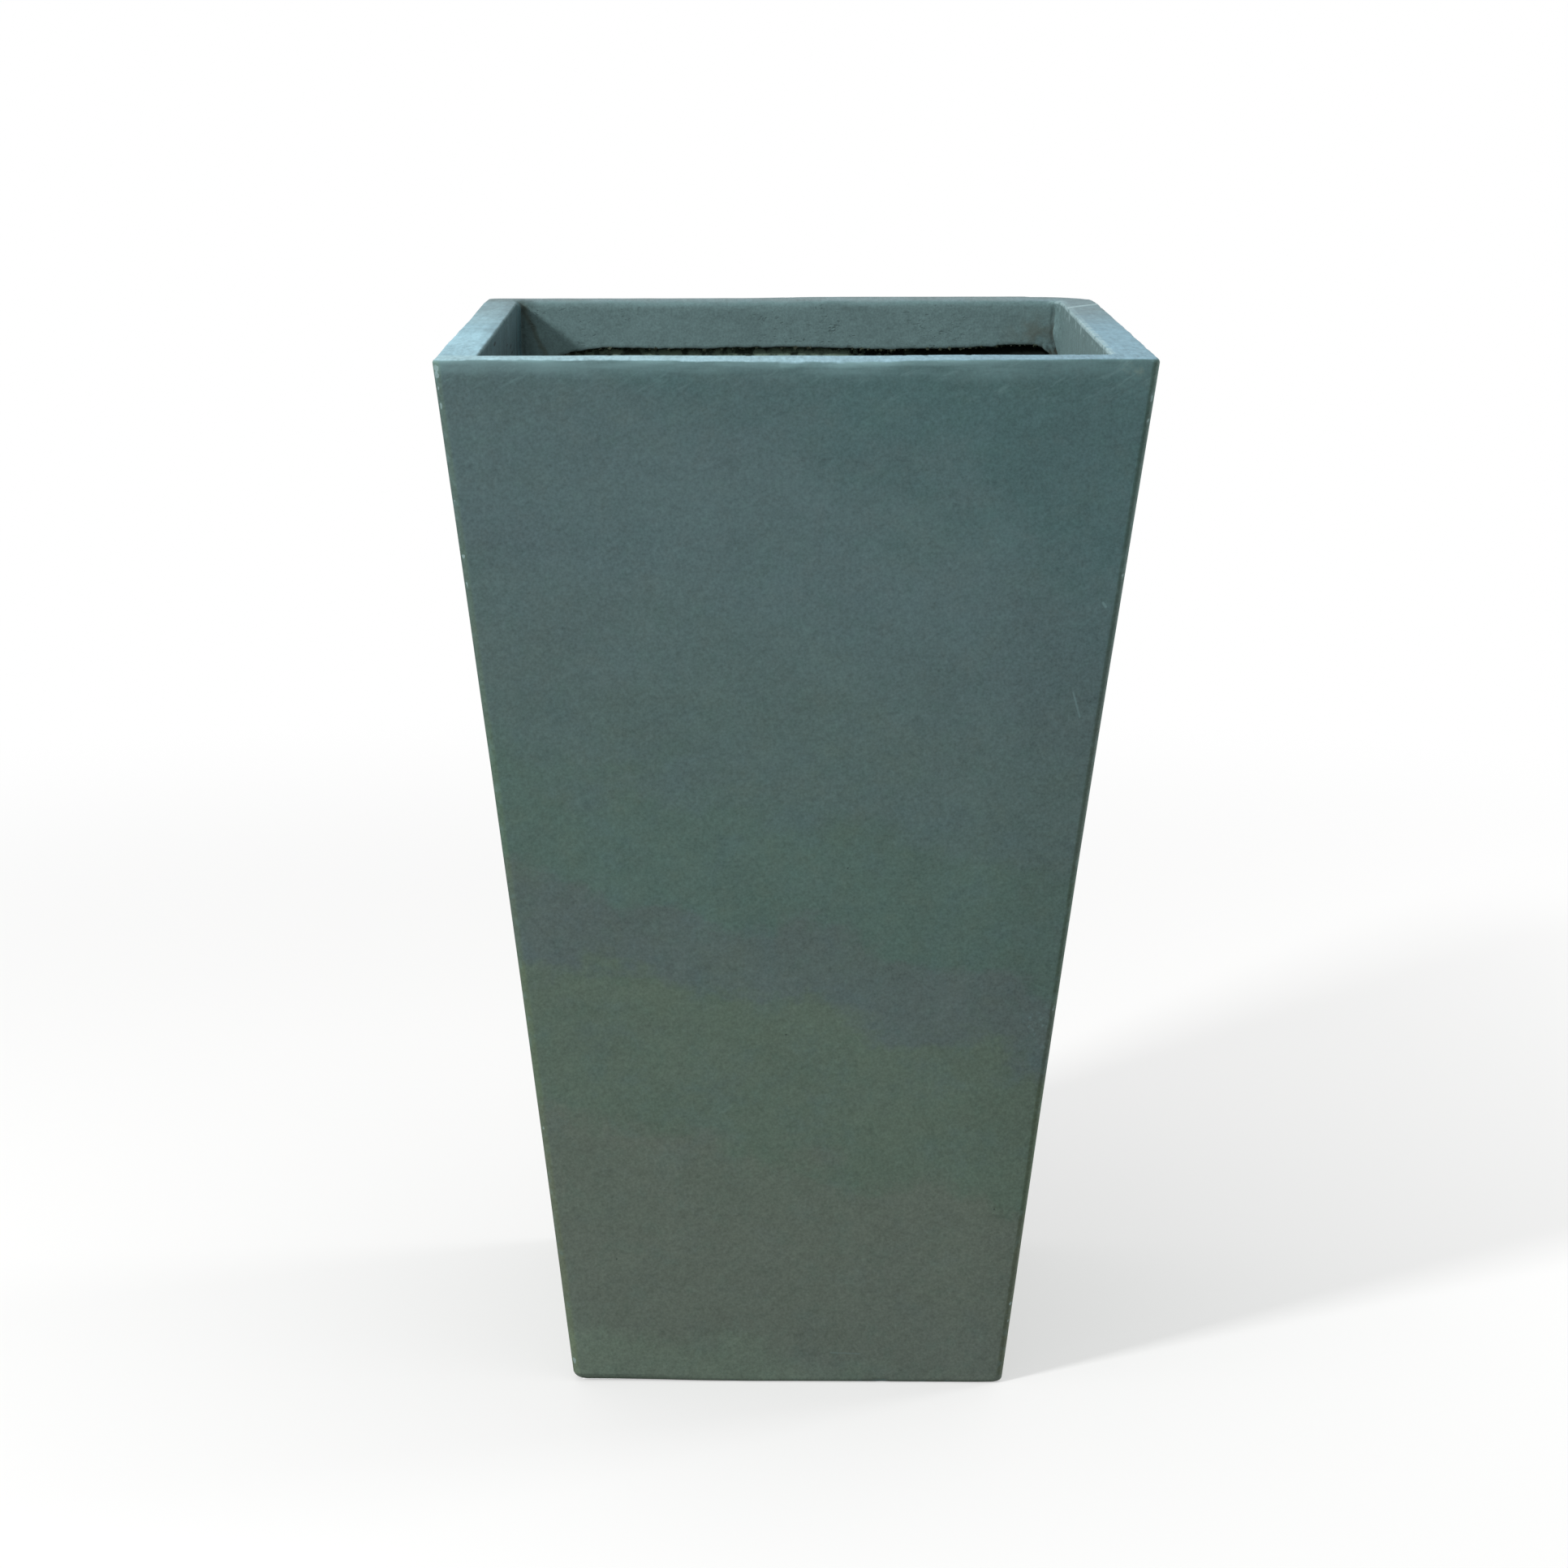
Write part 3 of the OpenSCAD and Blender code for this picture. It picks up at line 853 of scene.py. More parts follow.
rim = {
    "mouth": 171 * mm,
    "step": 1.15 * mm,
    "endStep": 0.8 * mm,
    "endWidth": 8 * mm,
    "turnSteps": 8,
    "turn": 5 * mm,
    "innerTurn": 1.4 * mm,
    "tip": 1.0 * mm,  # rounding of the lip's lower edge
    "sunk": 0.4 * mm,  # how far the lip reaches into the wall behind it
    "tilt": 3.0 * mm,  # the left side stands lower
    "arris": 1.8 * mm,
    "innerArris": 1.6 * mm,
    "backArris": 4.6 * mm,  # the back's inner edge is soft
    "crease": 0.7 * mm,
    # mortar left standing in the back corners: how far it comes out along the sides, by height
    "fillRight": [(569, 0.2), (575, 0.4), (581, 2.6), (588, 4.2), (597, 3.4), (603, 2.8), (607, 4.0),
                  (610, 4.6)],
    "fillLeft": [(569, 2.4), (590, 1.7), (610, 1.2)],
    "fillWide": 9 * mm,
    "ragged": 0.8 * mm,
    # unevenness, each as share, size, seed: of the top, the outer arris, the lip's lower edge and its face
    "topWaves": [(0.11, 0.045, 13), (0.06, 0.013, 17)],
    "arrisWaves": [(0.26, 0.022, 29), (0.12, 0.007, 30), (0.06, 0.003, 32)],
    "tears": [(0.5, 0.011, 31), (0.6, 0.0045, 37), (0.5, 0.0022, 38)],
    "lumps": [(0.22 * mm, 0.030, 47), (0.12 * mm, 0.009, 53)],
    # lower edge of the lip: along the back by x, along both sides by y
    "backEdge": [(-171, 568), (-150, 570.5), (-136, 574.5), (-127, 576.4), (-118, 577.1), (-60, 577),
                 (5, 578.5), (44, 577.7), (70, 577.5), (96, 578.3), (118, 579.2), (129, 579.6), (136, 581),
                 (156, 580.6), (161, 579), (165, 576), (168, 571), (171, 568)],
    "sideEdge": [(-171, 580), (40, 580), (100, 576), (140, 570), (171, 568)],
    "crumbs": 320,
    "seed": 21,
}


def toBackRight(x, y):
    return np.clip((y + 0.15) / 0.34, 0, 1) * (x > 0)


def pastRidge(x, y):
    # how far behind the faint ridge by the back right corner, where the top is worn away
    ridge = 141 * mm - 1.4 * (190 * mm - x)
    return (y - ridge) * rise(x, 0.150, 0.166)


def rimTop(x, y):
    # height of the rim's top: tilted, wavy, lower at the back right corner
    flat = np.stack([x, y, np.zeros_like(x)], axis=-1)
    outer = outerHalf(height)
    top = height - rim["tilt"] * (outer - x) / (2 * outer)
    top -= waves(flat, rim["topWaves"], 0.17) * mm
    top -= 0.5 * mm * rise(y, rim["mouth"], outer) * (1 - 1.4 * rise(x, -0.04, 0.02) * rise(-x, -0.19, -0.16))
    atFront = rise(-y, rim["mouth"], outer)
    top -= (0.3 + 0.7 * atFront) * mm * np.exp(-((x - 12 * mm) / (55 * mm)) ** 2) * (y < 0)
    top += 0.5 * mm * np.exp(-((x + 162 * mm) / (28 * mm)) ** 2) * atFront
    top -= 0.5 * mm * toBackRight(x, y) * rise(x, 0.172, outer)
    top -= 0.3 * mm * rise(pastRidge(x, y), 0, 8 * mm)
    top -= 0.6 * mm * rise(-np.hypot(outer - x, outer - y), -12 * mm, -1 * mm)
    return np.minimum(top, height - 0.05 * mm)


def flatRing(columns, half, turn):
    return ringPoints(columns, np.array([half]), np.array([turn]), np.zeros(1))[0]


def rimArris(outline):
    # radius of the outer top edge, rubbed rounder near the middle of the front, and at the sides
    x, y = outline[:, 0], outline[:, 1]
    worn = rise(x, -110 * mm, -12 * mm) * 0.9 + rise(x, -11 * mm, -9 * mm) + 0.5
    worn = (worn * rise(-x, -105 * mm, -30 * mm) - 0.5) * rise(-y, 0.18, 0.19)
    toBack = np.clip((y + 0.19) / 0.36, 0, 1)
    worn += rise(x, 0.184, 0.192) * (1.0 + 0.4 * toBack) + rise(-x, 0.184, 0.192) * (0.6 * toBack - 0.15)
    return np.maximum(rim["arris"] * (1 + waves(outline, rim["arrisWaves"])) + worn * mm, 1.1 * mm)


def mouthArris(mouth):
    # radius of the inner top edge, soft along the back
    wide = rim["innerArris"] + (rim["backArris"] - rim["innerArris"]) * rise(mouth[:, 1], 0.150, rim["mouth"])
    return wide * (1 + 0.25 * wobble(mouth, 0.03, 23)) * (1 - 0.4 * rise(mouth[:, 0], 0.166, rim["mouth"]))


def lipEdge(mouth, isBack):
    # height of the lip's ragged lower edge
    backEdge, sideEdge = (np.array(rim[name]).T * mm for name in ("backEdge", "sideEdge"))
    low = isBack * np.interp(mouth[:, 0], *backEdge) + (1 - isBack) * np.interp(mouth[:, 1], *sideEdge)
    return low + rim["ragged"] * waves(mouth, rim["tears"])


def rimRows(columns, outline, mouth, low):
    # from the joint up the outside, over the top, down the lip, under it and back along the joint
    s = rim
    outer = outerHalf(height)
    arris, innerArris = rimArris(outline), mouthArris(mouth)
    outerTop, innerTop = rimTop(outline[:, 0], outline[:, 1]), rimTop(mouth[:, 0], mouth[:, 1])
    rows = []

    def row(z, half, turn, top=0.0, inside=0.0, damp=0.0):
        rows.append([np.broadcast_to(value, len(mouth)) for value in (z, half, turn, top, inside, damp)])

    upright = uprightTurn(columns, np.array([jointZ, height]))
    for share in np.linspace(0, 1, 9):
        z = jointZ + share * (outerTop - arris - jointZ)
        row(z, outerHalf(z), upright[0] * (1 - share) + upright[1] * share)
    for a in np.linspace(0, math.pi / 2, 6)[1:]:
        z = outerTop - arris * (1 - math.sin(a))
        half = outerHalf(outerTop - arris) - arris * (1 - math.cos(a))
        row(z, half, s["turn"] - arris * 0.5 * a, a / 1.6)
    outsideRows = len(rows)
    for share in np.linspace(0, 1, 13)[1:-1]:
        half = outer - arris + share * (s["mouth"] + innerArris - outer + arris)
        flat = flatRing(columns, half, 4 * mm)
        row(rimTop(flat[:, 0], flat[:, 1]), half, 4 * mm - share * 2.2 * mm, 1.0)
    for a in np.linspace(0, math.pi / 2, 7):
        z = innerTop - innerArris * (1 - math.cos(a))
        row(z, s["mouth"] + innerArris * (1 - math.sin(a)), 1.8 * mm - 0.2 * mm * a, 1 - a / 1.6, a / 1.6)
    for share in np.linspace(0, 1, 18)[1:]:
        z = innerTop - innerArris + share * (low + s["tip"] - innerTop + innerArris)
        row(z, s["mouth"], s["innerTurn"], 0, 1.0, rise(share, 0.96, 1.0) * 0.3)
    for a in np.linspace(0, math.pi / 2, 4)[1:]:
        z = low + s["tip"] * (1 - math.sin(a))
        row(z, s["mouth"] + s["tip"] * (1 - math.cos(a)), s["innerTurn"], 0, 1.0, 0.4 + 0.35 * a)
    wall = innerHalf(low + 2 * mm) + s["sunk"]
    for share in np.linspace(0, 1, 7)[1:]:
        half = s["mouth"] + s["tip"] + share * (wall - s["mouth"] - s["tip"])
        places = np.column_stack([mouth[:, :2], np.full(len(mouth), share)])
        lump = 0.5 * mm * wobble(places, 0.006, 43) * math.sin(share * math.pi)
        row(low + share * 1.6 * mm + lump, half, s["innerTurn"] + share * 9 * mm, 0, 1.0, 1.0)
    row(jointZ - 6 * mm, innerHalf(jointZ) + s["sunk"], 11 * mm, 0, 1.0, 1.0)
    row(jointZ, innerHalf(jointZ) + 1.0 * mm, 11 * mm, 0, 1.0, 1.0)
    row(jointZ, outerHalf(jointZ) - 4 * mm, s["turn"])
    return np.array(rows).transpose(1, 0, 2), outsideRows


def shapeLip(points, out, mouth, inside, damp, isBack):
    # lumps on the lip's face, creases in its corners and mortar left standing in the back ones
    drop = rimTop(mouth[:, 0], mouth[:, 1]) - points[..., 2]
    push = waves(points, rim["lumps"])
    push += rise(points[..., 0], 0.02, 0.13) * isBack * 0.14 * mm * wobble(points, 0.0042, 59)
    fromCorner = np.maximum(rim["mouth"] - np.abs(mouth[:, 0]), rim["mouth"] - np.abs(mouth[:, 1]))
    push += rim["crease"] * np.exp(-(fromCorner / (1.3 * mm)) ** 2)
    onLip = inside > 0.99
    push *= (onLip & (damp < 0.99)) * rise(drop, 1 * mm, 7 * mm)
    points[..., :2] += out * push[..., None]
    crease = np.exp(-(fromCorner / (1.0 * mm)) ** 2) * onLip
    crease *= rise(drop, 1 * mm, 3 * mm)
    fillRight, fillLeft = (np.interp(points[..., 2] / mm, *np.array(rim[name]).T) * mm
                           for name in ("fillRight", "fillLeft"))
    fill = np.where(mouth[:, 0] > 0, fillRight, -fillLeft) * (1 + 0.25 * wobble(points, 0.005, 83))
    fromBack = (rim["mouth"] - mouth[:, 1]) / rim["fillWide"]
    fill *= np.exp(-fromBack ** 2) * rise(np.abs(mouth[:, 0]), 0.155, 0.169)
    points[..., 0] -= fill * (inside > 0.3) * (damp < 0.99)
    return crease


def greyShare(points):
    # how much greyer the rim's top is: along the back, and past the ridge
    x, y = points[..., 0], points[..., 1]
    grey = (0.62 + 0.16 * (x > 0)) * rise(y, -0.06, 0.13)
    grey = np.maximum(grey, 0.9 * rise(y, 0.13, 0.176) * rise(-x, -0.160, -0.140))
    grey = np.maximum(grey, 0.95 * rise(y, 0.176, 0.182) * (x < 0.176))
    return np.maximum(grey, 0.55 * rise(pastRidge(x, y), -1 * mm, 5 * mm))


def makeRimLip():
    s = rim
    outer = outerHalf(height)
    columns = ringColumns(outer, s)
    out = columns["out"]
    outline, mouth = flatRing(columns, outer, s["turn"]), flatRing(columns, s["mouth"], s["innerTurn"])
    isBack = rise(out[:, 1], 0.5, 0.9)
    low = lipEdge(mouth, isBack)
    (z, half, turn, top, inside, damp), outsideRows = rimRows(columns, outline, mouth, low)
    points = ringPoints(columns, half, turn, z)
    settleOutside(points[:outsideRows], columns)
    crease = shapeLip(points, out, mouth, inside, damp, isBack)
    share = np.clip((outer - half) / (outer - s["mouth"]), 0, 1)  # the mouth sits a little to the left
    points[..., 0] -= share * (0.4 + 0.9 * rise(points[..., 1], -0.17, 0.17)) * mm
    broken = bite(points, chips + innerChips())
    past = pastRidge(points[..., 0], points[..., 1])
    ridge = np.exp(-(past / (4 * mm)) ** 2) * rise(points[..., 0], 0.164, 0.170) * top
    marks = {"broken": broken, "edge": edgeMark(columns, len(points)) * (1 - inside) * (1 - top), "top": top,
             "inside": inside, "damp": damp, "grey": greyShare(points), "crease": crease, "ridge": ridge}
    faces = ringFaces(*points.shape[:2])
    if volumeOf(points.reshape(-1, 3), faces) < 0:
        faces = faces[:, ::-1]
    points, faces, marks = addCrumbs(points.reshape(-1, 3), faces, marks, mouth, low)
    makePiece("rimLip", points, "planter", "rim_lip", rimConcrete, marks, faces, 50)


def innerChips():
    random = np.random.default_rng(rim["seed"])
    chips = []
    for k, count in ((0, 14), (1, 30), (2, 12), (3, 16)):
        for s in random.uniform(-0.97, 0.97, count):
            spot = sideOut[k] * (rim["mouth"] + 0.5 * mm) + sideAlong[k] * s * rim["mouth"]
            z = float(rimTop(np.array(spot[0]), np.array(spot[1]))) - 0.5 * mm
            radius = random.uniform(0.9, 2.2) * mm
            inward = np.array([*(sideOut[k] * 0.7), -0.7])
            chips.append((np.array([*spot, z]), radius, radius * random.uniform(0.15, 0.35), inward))
    return chips


def addCrumbs(points, faces, marks, mouth, low):
    # loose bits of mortar that cling under the torn edge of the lip, mostly along the back
    random = np.random.default_rng(rim["seed"] + 1)
    cube = np.array(list(itertools.product((-1, 1), repeat=3)), float)
    quads = np.array([(0, 1, 3, 2), (4, 6, 7, 5), (0, 4, 5, 1), (2, 3, 7, 6), (0, 2, 6, 4), (1, 5, 7, 3)])
    back = np.flatnonzero((mouth[:, 1] > rim["mouth"] - 1 * mm) & (np.abs(mouth[:, 0]) < 0.169))
    rest = np.flatnonzero(mouth[:, 1] < rim["mouth"] - 1 * mm)
    count = rim["crumbs"]
    places = np.concatenate([random.choice(back, count * 2 // 3), random.choice(rest, count // 3)])
    allPoints, allFaces, start = [points], [faces], len(points)
    for place in places:
        outward = np.sign(mouth[place, :2]) * (np.abs(mouth[place, :2]) > rim["mouth"] - 1 * mm)
        spot = mouth[place, :2] + outward * random.uniform(0.2, 4.5) * mm
        size = random.uniform(0.45, 1.5) * mm
        lump = cube / 1.4 * size * random.uniform(0.7, 1.3, (8, 3))
        angle = random.uniform(0, 6)
        axis = Vector(random.normal(size=3)).normalized()
        lump = lump @ np.array(Matrix.Rotation(angle, 3, axis))
        allPoints.append(lump + np.array([*spot, low[place] + random.uniform(-0.3, 0.6) * mm]))
        allFaces.append(quads + start)
        start += 8
    extra = 8 * len(places)
    marks["loose"] = np.zeros_like(marks["damp"])
    onLumps = {"inside": 1, "damp": 0.6, "loose": 1}
    for name, values in marks.items():
        marks[name] = np.concatenate([np.ravel(values), np.full(extra, onLumps.get(name, 0))])
    return np.concatenate(allPoints), np.concatenate(allFaces), marks


makeRimLip()


# Backing shell: the thick hand-pressed wall behind the face coat, down to the ground

shell = {
    "step": 5 * mm,
    "endStep": 1.0 * mm,
    "endWidth": 9 * mm,
    "turnSteps": 9,
    "innerRows": 142,
    "inset": 3.02 * mm,
    "gap": 0.02 * mm,
    "outerTurn": 2.2 * mm,
    "turn": 12 * mm,
    "lumps": [(0.55 * mm, 0.035, 67), (0.3 * mm, 0.014, 71)],  # height, size, seed
    "footRows": [0, 0.08, 0.3, 0.7, 1.2, 1.8, 2.6, 3.6],  # heights in millimetres
}


def footInset(columns, z):
    # the bottom edge is rounded, most at the front left
    foot = outerHalf(0)
    x, y = (columns["base"] * foot).T
    radius = outside["footTurn"] * (1 + 0.25 * wobble(np.column_stack([x, y, 0 * x]), 0.03, 61))
    left = np.exp(-(np.hypot(x + foot, y + foot) / (70 * mm)) ** 2)
    right = np.exp(-(np.hypot(x - foot, y + foot) / (7 * mm)) ** 2)
    radius = radius + (outside["footLeft"] - radius) * left + (outside["footRight"] - radius) * right
    below = np.clip(radius - z[:, None], 0, None)
    return radius - np.sqrt(np.clip(radius ** 2 - below ** 2, 0, None))


def makeBackingShell():
    s = shell
    columns = ringColumns(outerHalf(footZ), s)
    foot = np.array([*np.array(s["footRows"]) * mm, footZ])
    half = outerHalf(foot)[:, None] - footInset(columns, foot)
    skin = ringPoints(columns, half, uprightTurn(columns, foot), foot)
    settleOutside(skin, columns)
    broken = bite(skin, chips)
    top = jointZ - s["gap"]
    up = np.array([footZ, 0.3, top])
    hidden = ringPoints(columns, outerHalf(up) - s["inset"], np.full(len(up), s["outerTurn"]), up)
    down = np.linspace(jointZ - 4 * mm, screedHigh.z, s["innerRows"])
    down = np.array([top, *down, slabHigh.z, slabLow.z, 4 * mm, 2 * mm, 0.0])
    inner = ringPoints(columns, innerHalf(down), np.full(len(down), s["turn"]), down)
    lump = hills(inner, s["lumps"]) * rise(inner[..., 2], screedHigh.z - 1 * mm, screedHigh.z + 8 * mm)
    inner[..., :2] -= columns["out"] * lump[..., None]
    points = np.concatenate([skin, hidden, inner])
    pad = np.zeros((len(up) + len(down), len(columns["out"])))
    marks = {"outside": np.concatenate([np.ones_like(broken), pad]), "broken": np.concatenate([broken, pad])}
    makePiece("backingShell", points, "planter", "backing_shell", backingConcrete, marks)


makeBackingShell()


# Base slab and the floor on it, both with the drain hole through them

base = {
    "step": 4 * mm,
    "endStep": 2 * mm,
    "endWidth": 10 * mm,
    "turnSteps": 6,
    "turn": 12 * mm,
    "cove": 2.6 * mm,
    "coveWidth": 6 * mm,
    "fall": 0.5 * mm,  # toward the drain, over these distances from it
    "fallFrom": 0.075,
    "fallTo": 0.024,
    "rough": [(0.45 * mm, 0.018, 73)],  # under the slab: height, size, seed
    "slabRows": 28,
    "screedRows": 34,
}


def plateRing(halfLow, halfHigh, low, high, rowsAcross):
    # a plate with a round hole: from the hole out over the top, down the side and back under
    columns = ringColumns(halfLow, base)
    angle = np.arctan2(*(columns["base"] + columns["out"] * 0.05).T[::-1])
    circle = np.stack([np.cos(angle), np.sin(angle)], axis=-1) * drainRadius

    def row(share, half, z):
        square = columns["base"] * (half - base["turn"]) + columns["out"] * base["turn"]
        flat = circle + (square - circle) * share
        return np.column_stack([flat, np.broadcast_to(z, len(flat))])

    shares = np.linspace(0, 1, rowsAcross) ** 0.8
    under = [row(t, halfLow, low) for t in shares]
    over = [row(t, halfHigh, high) for t in shares[::-1]]
    hole = [row(0, halfHigh, high + (low - high) * t) for t in np.linspace(0, 1, 5)[1:-1]]
    return np.array(under), np.array(over), np.array(hole)


def makeBaseSlab():
    under, over, hole = plateRing(slabHalf, innerHalf(slabHigh.z), slabLow.z, slabHigh.z, base["slabRows"])
    edge = rise(np.linalg.norm(under[..., :2], axis=-1), drainRadius, drainRadius + 4 * mm)
    under[..., 2] += hills(under, base["rough"]) * edge
    under[..., 2] += 0.6 * mm * (1 - edge)
    points = np.concatenate([under, over, hole])
    makePiece("baseSlab", points, "planter", "base_slab", backingConcrete, {})


def makeFloorScreed():
    half = innerHalf(screedHigh.z)
    ends = screedLow.z, screedHigh.z
    under, over, hole = plateRing(innerHalf(screedLow.z), half + 0.6 * mm, *ends, base["screedRows"])
    inset = half - np.abs(over[..., :2]).max(axis=-1)
    near = rise(-inset, -base["coveWidth"], 0)
    over[..., 2] += base["cove"] * near ** 2 + 0.3 * mm * wobble(over, 0.03, 79) * (1 - near)
    reach = np.linalg.norm(over[..., :2], axis=-1)
    over[..., 2] -= base["fall"] * rise(-reach, -base["fallFrom"], -base["fallTo"])
    points = np.concatenate([under, over, hole])
    marks = {"edge": np.concatenate([np.zeros(under.shape[:2]), near, np.zeros(hole.shape[:2])])}
    makePiece("floorScreed", points, "planter", "floor_screed", floorConcrete, marks)


makeBaseSlab()
makeFloorScreed()


# Drain plug: a moulded rubber stopper with a pull tab

plug = {
    "flange": 20 * mm,
    "flangeLow": screedHigh.z,
    "flangeHigh": screedHigh.z + 3 * mm,
    "shank": 13.6 * mm,
    "taper": 1.4 * mm,
    "ribs": (4.0, 9.0, 14.0),  # heights of the sealing ribs above the plug's foot, in millimetres
    "steps": 72,
    "tabWide": 11 * mm,
    "tabThick": 1.8 * mm,
    "tabSteps": 40,
    "bead": 2.8 * mm,
    "voxel": 0.38 * mm,
}


def turnShank(build):
    # the round body: a dished foot, the ribs on the shank and the flange
    s = plug
    low, mid, top, flange = plugLow.z, s["flangeLow"], s["flangeHigh"], s["flange"]
    end = s["shank"] - s["taper"]
    dish = low + 1.2 * mm
    profile = [(0, dish), (end - 3.5 * mm, dish), (end - 2.2 * mm, low), (end - 1.0 * mm, low), (end, dish)]
    for rib in s["ribs"]:
        z = low + rib * mm
        r = end + s["taper"] * (z - low) / (mid - low)
        profile += [(r - 0.5 * mm, z - 1.6 * mm), (r, z - 0.7 * mm)]
        profile += [(r, z + 0.5 * mm), (r - 0.5 * mm, z + 1.4 * mm)]
    profile += [(s["shank"] - 0.1 * mm, mid - 0.8 * mm), (s["shank"], mid), (flange - 0.7 * mm, mid)]
    profile += [(flange, mid + 0.6 * mm), (flange, mid + 1.5 * mm), (flange - 0.6 * mm, mid + 2.4 * mm)]
    profile += [(flange - 1.8 * mm, top), (0, top)]
    line = [build.verts.new((r, 0, z)) for r, z in profile]
    edges = [build.edges.new(pair) for pair in zip(line, line[1:])]
    bmesh.ops.spin(build, geom=line + edges, cent=(0, 0, 0), axis=(0, 0, 1), angle=2 * math.pi,
                   steps=s["steps"], use_merge=True)
    bmesh.ops.remove_doubles(build, verts=build.verts, dist=1e-6)


def addTab(build):
    # the pull tab: flat, flared where it leaves the flange, narrower half way up, with a bead along the top
    s = plug
    top, bead, steps = s["flangeHigh"], s["bead"], s["tabSteps"]
    beadZ = plugHigh.z - bead
    levels = [(top - 1.5 * mm, 1.35, 1.3)]
    for z in np.linspace(top, beadZ - bead, 7):
        flare = math.exp(-(z - top) / (1.2 * mm))
        waist = math.sin((z - top) / (beadZ - top) * math.pi)
        levels.append((z, 1.0 - 0.06 * waist + 0.12 * flare, 1.0 + 0.7 * flare))
    for a in np.linspace(-0.85, 1.45, 9):
        levels.append((beadZ + bead * math.sin(a), 1.0, bead * math.cos(a) / s["tabThick"]))
    rings = []
    for z, wide, thick in levels:
        ring = []
        for t in np.linspace(0, 2 * math.pi, steps + 1)[:-1]:
            c, q = math.cos(t), math.sin(t)
            x = math.copysign(abs(c) ** 0.45, c) * s["tabWide"] * wide * 0.985
            y = math.copysign(abs(q) ** 0.8, q) * s["tabThick"] * thick * 0.985
            ring.append(build.verts.new((x, y, z)))
        rings.append(ring)
    for a, b in zip(rings, rings[1:]):
        for k in range(steps):
            after = (k + 1) % steps
            build.faces.new((a[k], a[after], b[after], b[k]))
    build.faces.new(rings[0][::-1])
    build.faces.new(rings[-1])


def makeDrainPlug():
    build = bmesh.new()
    turnShank(build)
    addTab(build)
    bmesh.ops.recalc_face_normals(build, faces=build.faces)
    mesh = bpy.data.meshes.new("drainPlug")
    build.to_mesh(mesh)
    build.free()
    mesh.materials.append(plugRubber)
    piece = bpy.data.objects.new("drainPlug", mesh)
    scene.collection.objects.link(piece)
    fuse = piece.modifiers.new("fuse", "REMESH")  # body and tab become one moulding
    fuse.mode = "VOXEL"
    fuse.voxel_size = plug["voxel"]
    fuse.use_smooth_shade = True
    soften = piece.modifiers.new("soften", "SMOOTH")
    soften.factor = 0.5
    soften.iterations = 5
    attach(piece, "plug")
    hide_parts("drain_plug")
    print("made drainPlug")


makeDrainPlug()


# Glass mats and corner strips keep their CAD shape and get their cloth finish

mats = [f"{place}_mat" for place in ("front", "right", "back", "left", "base")]
strips = [f"{end}_{side}_corner_strip" for end in ("front", "back") for side in ("right", "left")]
for name in mats + strips:
    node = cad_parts[name]
    node.data.materials.clear()
    node.data.materials.append(glassMat)
print("glass dressed")


# Studio: pale floor, white surround, a soft key at the front left, a broad lamp above, a low one on the right

studio = {
    "key": {"watts": 125, "size": 0.5, "far": 4.0, "azimuth": 50, "elevation": 29},
    "top": {"watts": 20, "size": 2.4, "height": 2.9},
    "fill": {"watts": 33, "size": 0.6, "place": (2.05, 0.72, 0.36)},  # too low to shine into the mouth
    "sky": 0.52,
    "floor": rgb(176, 176, 174),
    "floorSeen": rgb(236, 236, 235),
    "floorGlow": 0.45,
    "fade": (0.7, 1.9),  # over this distance the floor turns into the white surround
    "floorHalf": 14.0,
    "floorDrop": 0.2 * mm,  # keeps the floor off the foot
    "underFoot": (0.1215, 0.1205),  # the floor is clear here, inside the foot
    "underHole": (0.0195, 0.0205),  # but not right under the drain hole
}


def areaLamp(name, watts, size, place, target):
    lamp = bpy.data.lights.new(name, "AREA")
    lamp.energy = watts
    lamp.size = size
    lamp.shape = "SQUARE"
    holder = bpy.data.objects.new(name, lamp)
    holder.location = place
    holder.visible_camera = False
    holder.rotation_euler = (Vector(target) - Vector(place)).to_track_quat("-Z", "Y").to_euler()
    scene.collection.objects.link(holder)


def makeStudio():
    s = studio
    a, e = math.radians(s["key"]["azimuth"]), math.radians(s["key"]["elevation"])
    aim = Vector((0, 0, 0.42))
    away = Vector((-math.sin(a) * math.cos(e), -math.cos(a) * math.cos(e), math.sin(e))) * s["key"]["far"]
    areaLamp("keyLamp", s["key"]["watts"], s["key"]["size"], aim + away, aim)
    areaLamp("topLamp", s["top"]["watts"], s["top"]["size"], (0, 0, s["top"]["height"]), (0, 0, 0))
    areaLamp("fillLamp", s["fill"]["watts"], s["fill"]["size"], s["fill"]["place"], (0, 0, 0.3))
    look = Look(bpy.data.worlds.new("studioSky"))
    path = look.node("ShaderNodeLightPath", out=None)
    rays = [Port(look, path.outputs[f"Is {ray} Ray"]) for ray in ("Camera", "Glossy", "Transmission")]
    seen = clip(sum(rays))
    light = look.node("ShaderNodeBackground", None, {"Color": (1, 1, 1, 1), "Strength": s["sky"]})
    white = look.node("ShaderNodeBackground", None, {"Color": (1, 1, 1, 1), "Strength": 1.0})
    mixed = look.node("ShaderNodeMixShader", None, {0: seen, 1: light, 2: white})
    look.node("ShaderNodeOutputWorld", None, {"Surface": mixed}, None)
    scene.world = look.owner


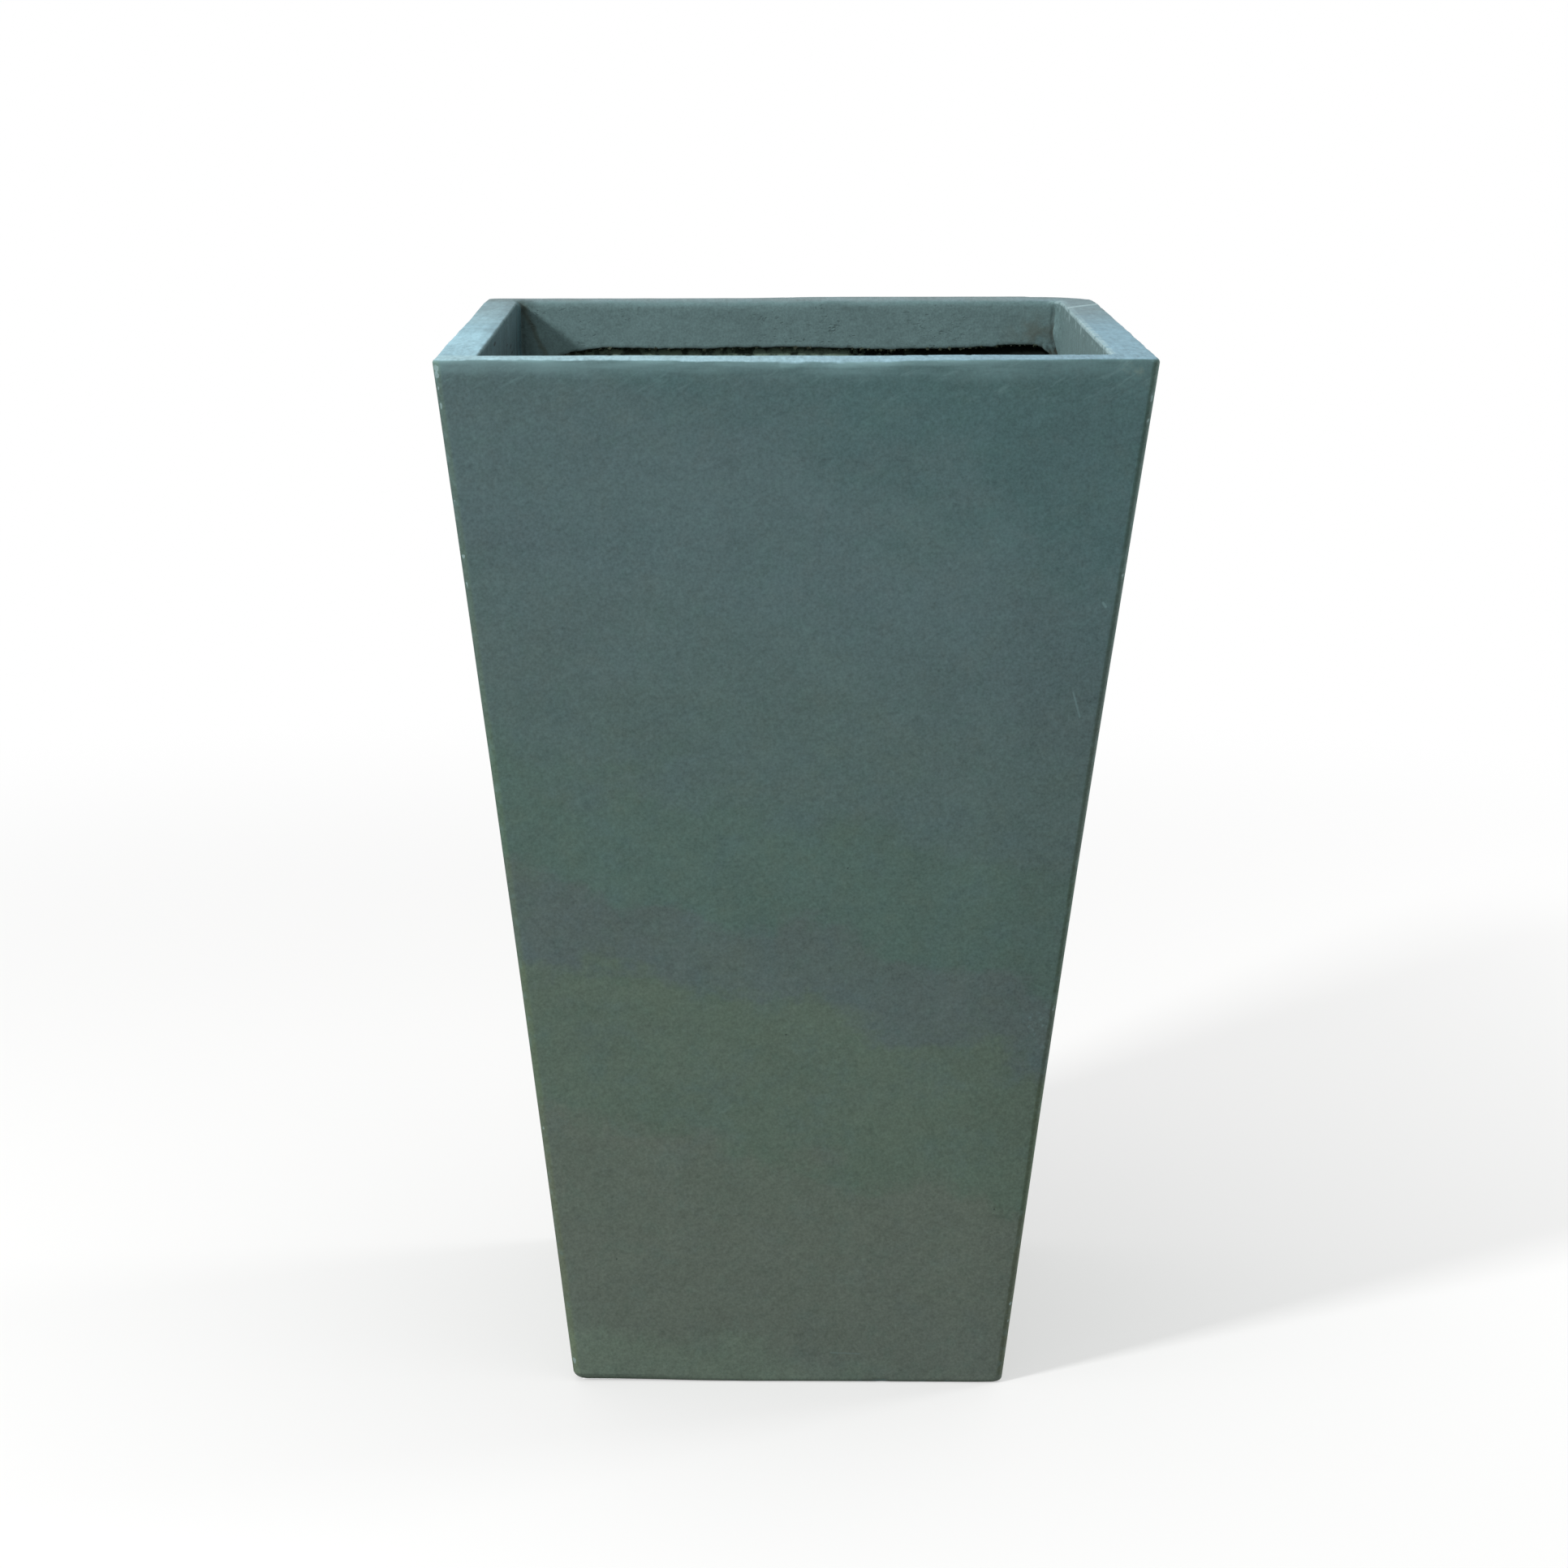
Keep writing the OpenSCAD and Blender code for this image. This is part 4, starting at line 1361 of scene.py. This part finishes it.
def makeFloor():
    look = newLook("studioFloor")
    path = look.node("ShaderNodeLightPath", out="Is Camera Ray")
    under = look.node("ShaderNodeNewGeometry", out="Backfacing")
    foot = between(most(absolute(look.x), absolute(look.y)), *studio["underFoot"])
    foot = foot * between(hypot(look.x, look.y), *studio["underHole"])  # lets light up to the underside
    shown = shade(studio["floorSeen"], look.noise(0.5, 2) * 0.01)
    matte = look.node("ShaderNodeBsdfDiffuse", None, {"Color": blend(studio["floor"], shown, path)})
    glow = look.node("ShaderNodeEmission", None, {"Color": (1, 1, 1, 1), "Strength": 1.0})
    away = between(hypot(look.x, look.y), *studio["fade"])
    glowing = path * (away * (1 - studio["floorGlow"]) + studio["floorGlow"])
    seen = look.node("ShaderNodeMixShader", None, {0: glowing, 1: matte, 2: glow})
    clear = look.node("ShaderNodeBsdfTransparent")
    both = look.node("ShaderNodeMixShader", None, {0: most(under, foot), 1: seen, 2: clear})
    look.node("ShaderNodeOutputMaterial", None, {"Surface": both}, None)
    mesh = bpy.data.meshes.new("studioFloor")
    far = studio["floorHalf"]
    mesh.from_pydata([(-far, -far, 0), (far, -far, 0), (far, far, 0), (-far, far, 0)], [], [(0, 1, 2, 3)])
    mesh.materials.append(look.owner)
    floor = bpy.data.objects.new("studioFloor", mesh)
    floor.location.z = -studio["floorDrop"]
    scene.collection.objects.link(floor)


view = {"place": (-0.0175, -2.1006, 0.80328), "yaw": 0.375, "pitch": 12.623, "roll": 0.3722, "lens": 81.973}


def makeCamera():
    yaw, pitch, roll = (math.radians(view[k]) for k in ("yaw", "pitch", "roll"))
    forward = Vector((math.sin(yaw) * math.cos(pitch), math.cos(yaw) * math.cos(pitch), -math.sin(pitch)))
    right = Vector((math.cos(yaw), -math.sin(yaw), 0))
    up = right.cross(forward)
    across = right * math.cos(roll) + up * math.sin(roll)
    upward = up * math.cos(roll) - right * math.sin(roll)
    turn = Matrix((across, upward, -forward)).transposed().to_4x4()
    camera = bpy.data.objects.new("camera", bpy.data.cameras.new("camera"))
    camera.matrix_world = Matrix.Translation(view["place"]) @ turn
    camera.data.lens = view["lens"]
    camera.data.sensor_width = 36
    camera.data.dof.use_dof = False
    scene.collection.objects.link(camera)
    scene.camera = camera


makeStudio()
makeFloor()
makeCamera()
scene.view_settings.view_transform = "Standard"
print("studio ready")

bpy.context.view_layer.update()
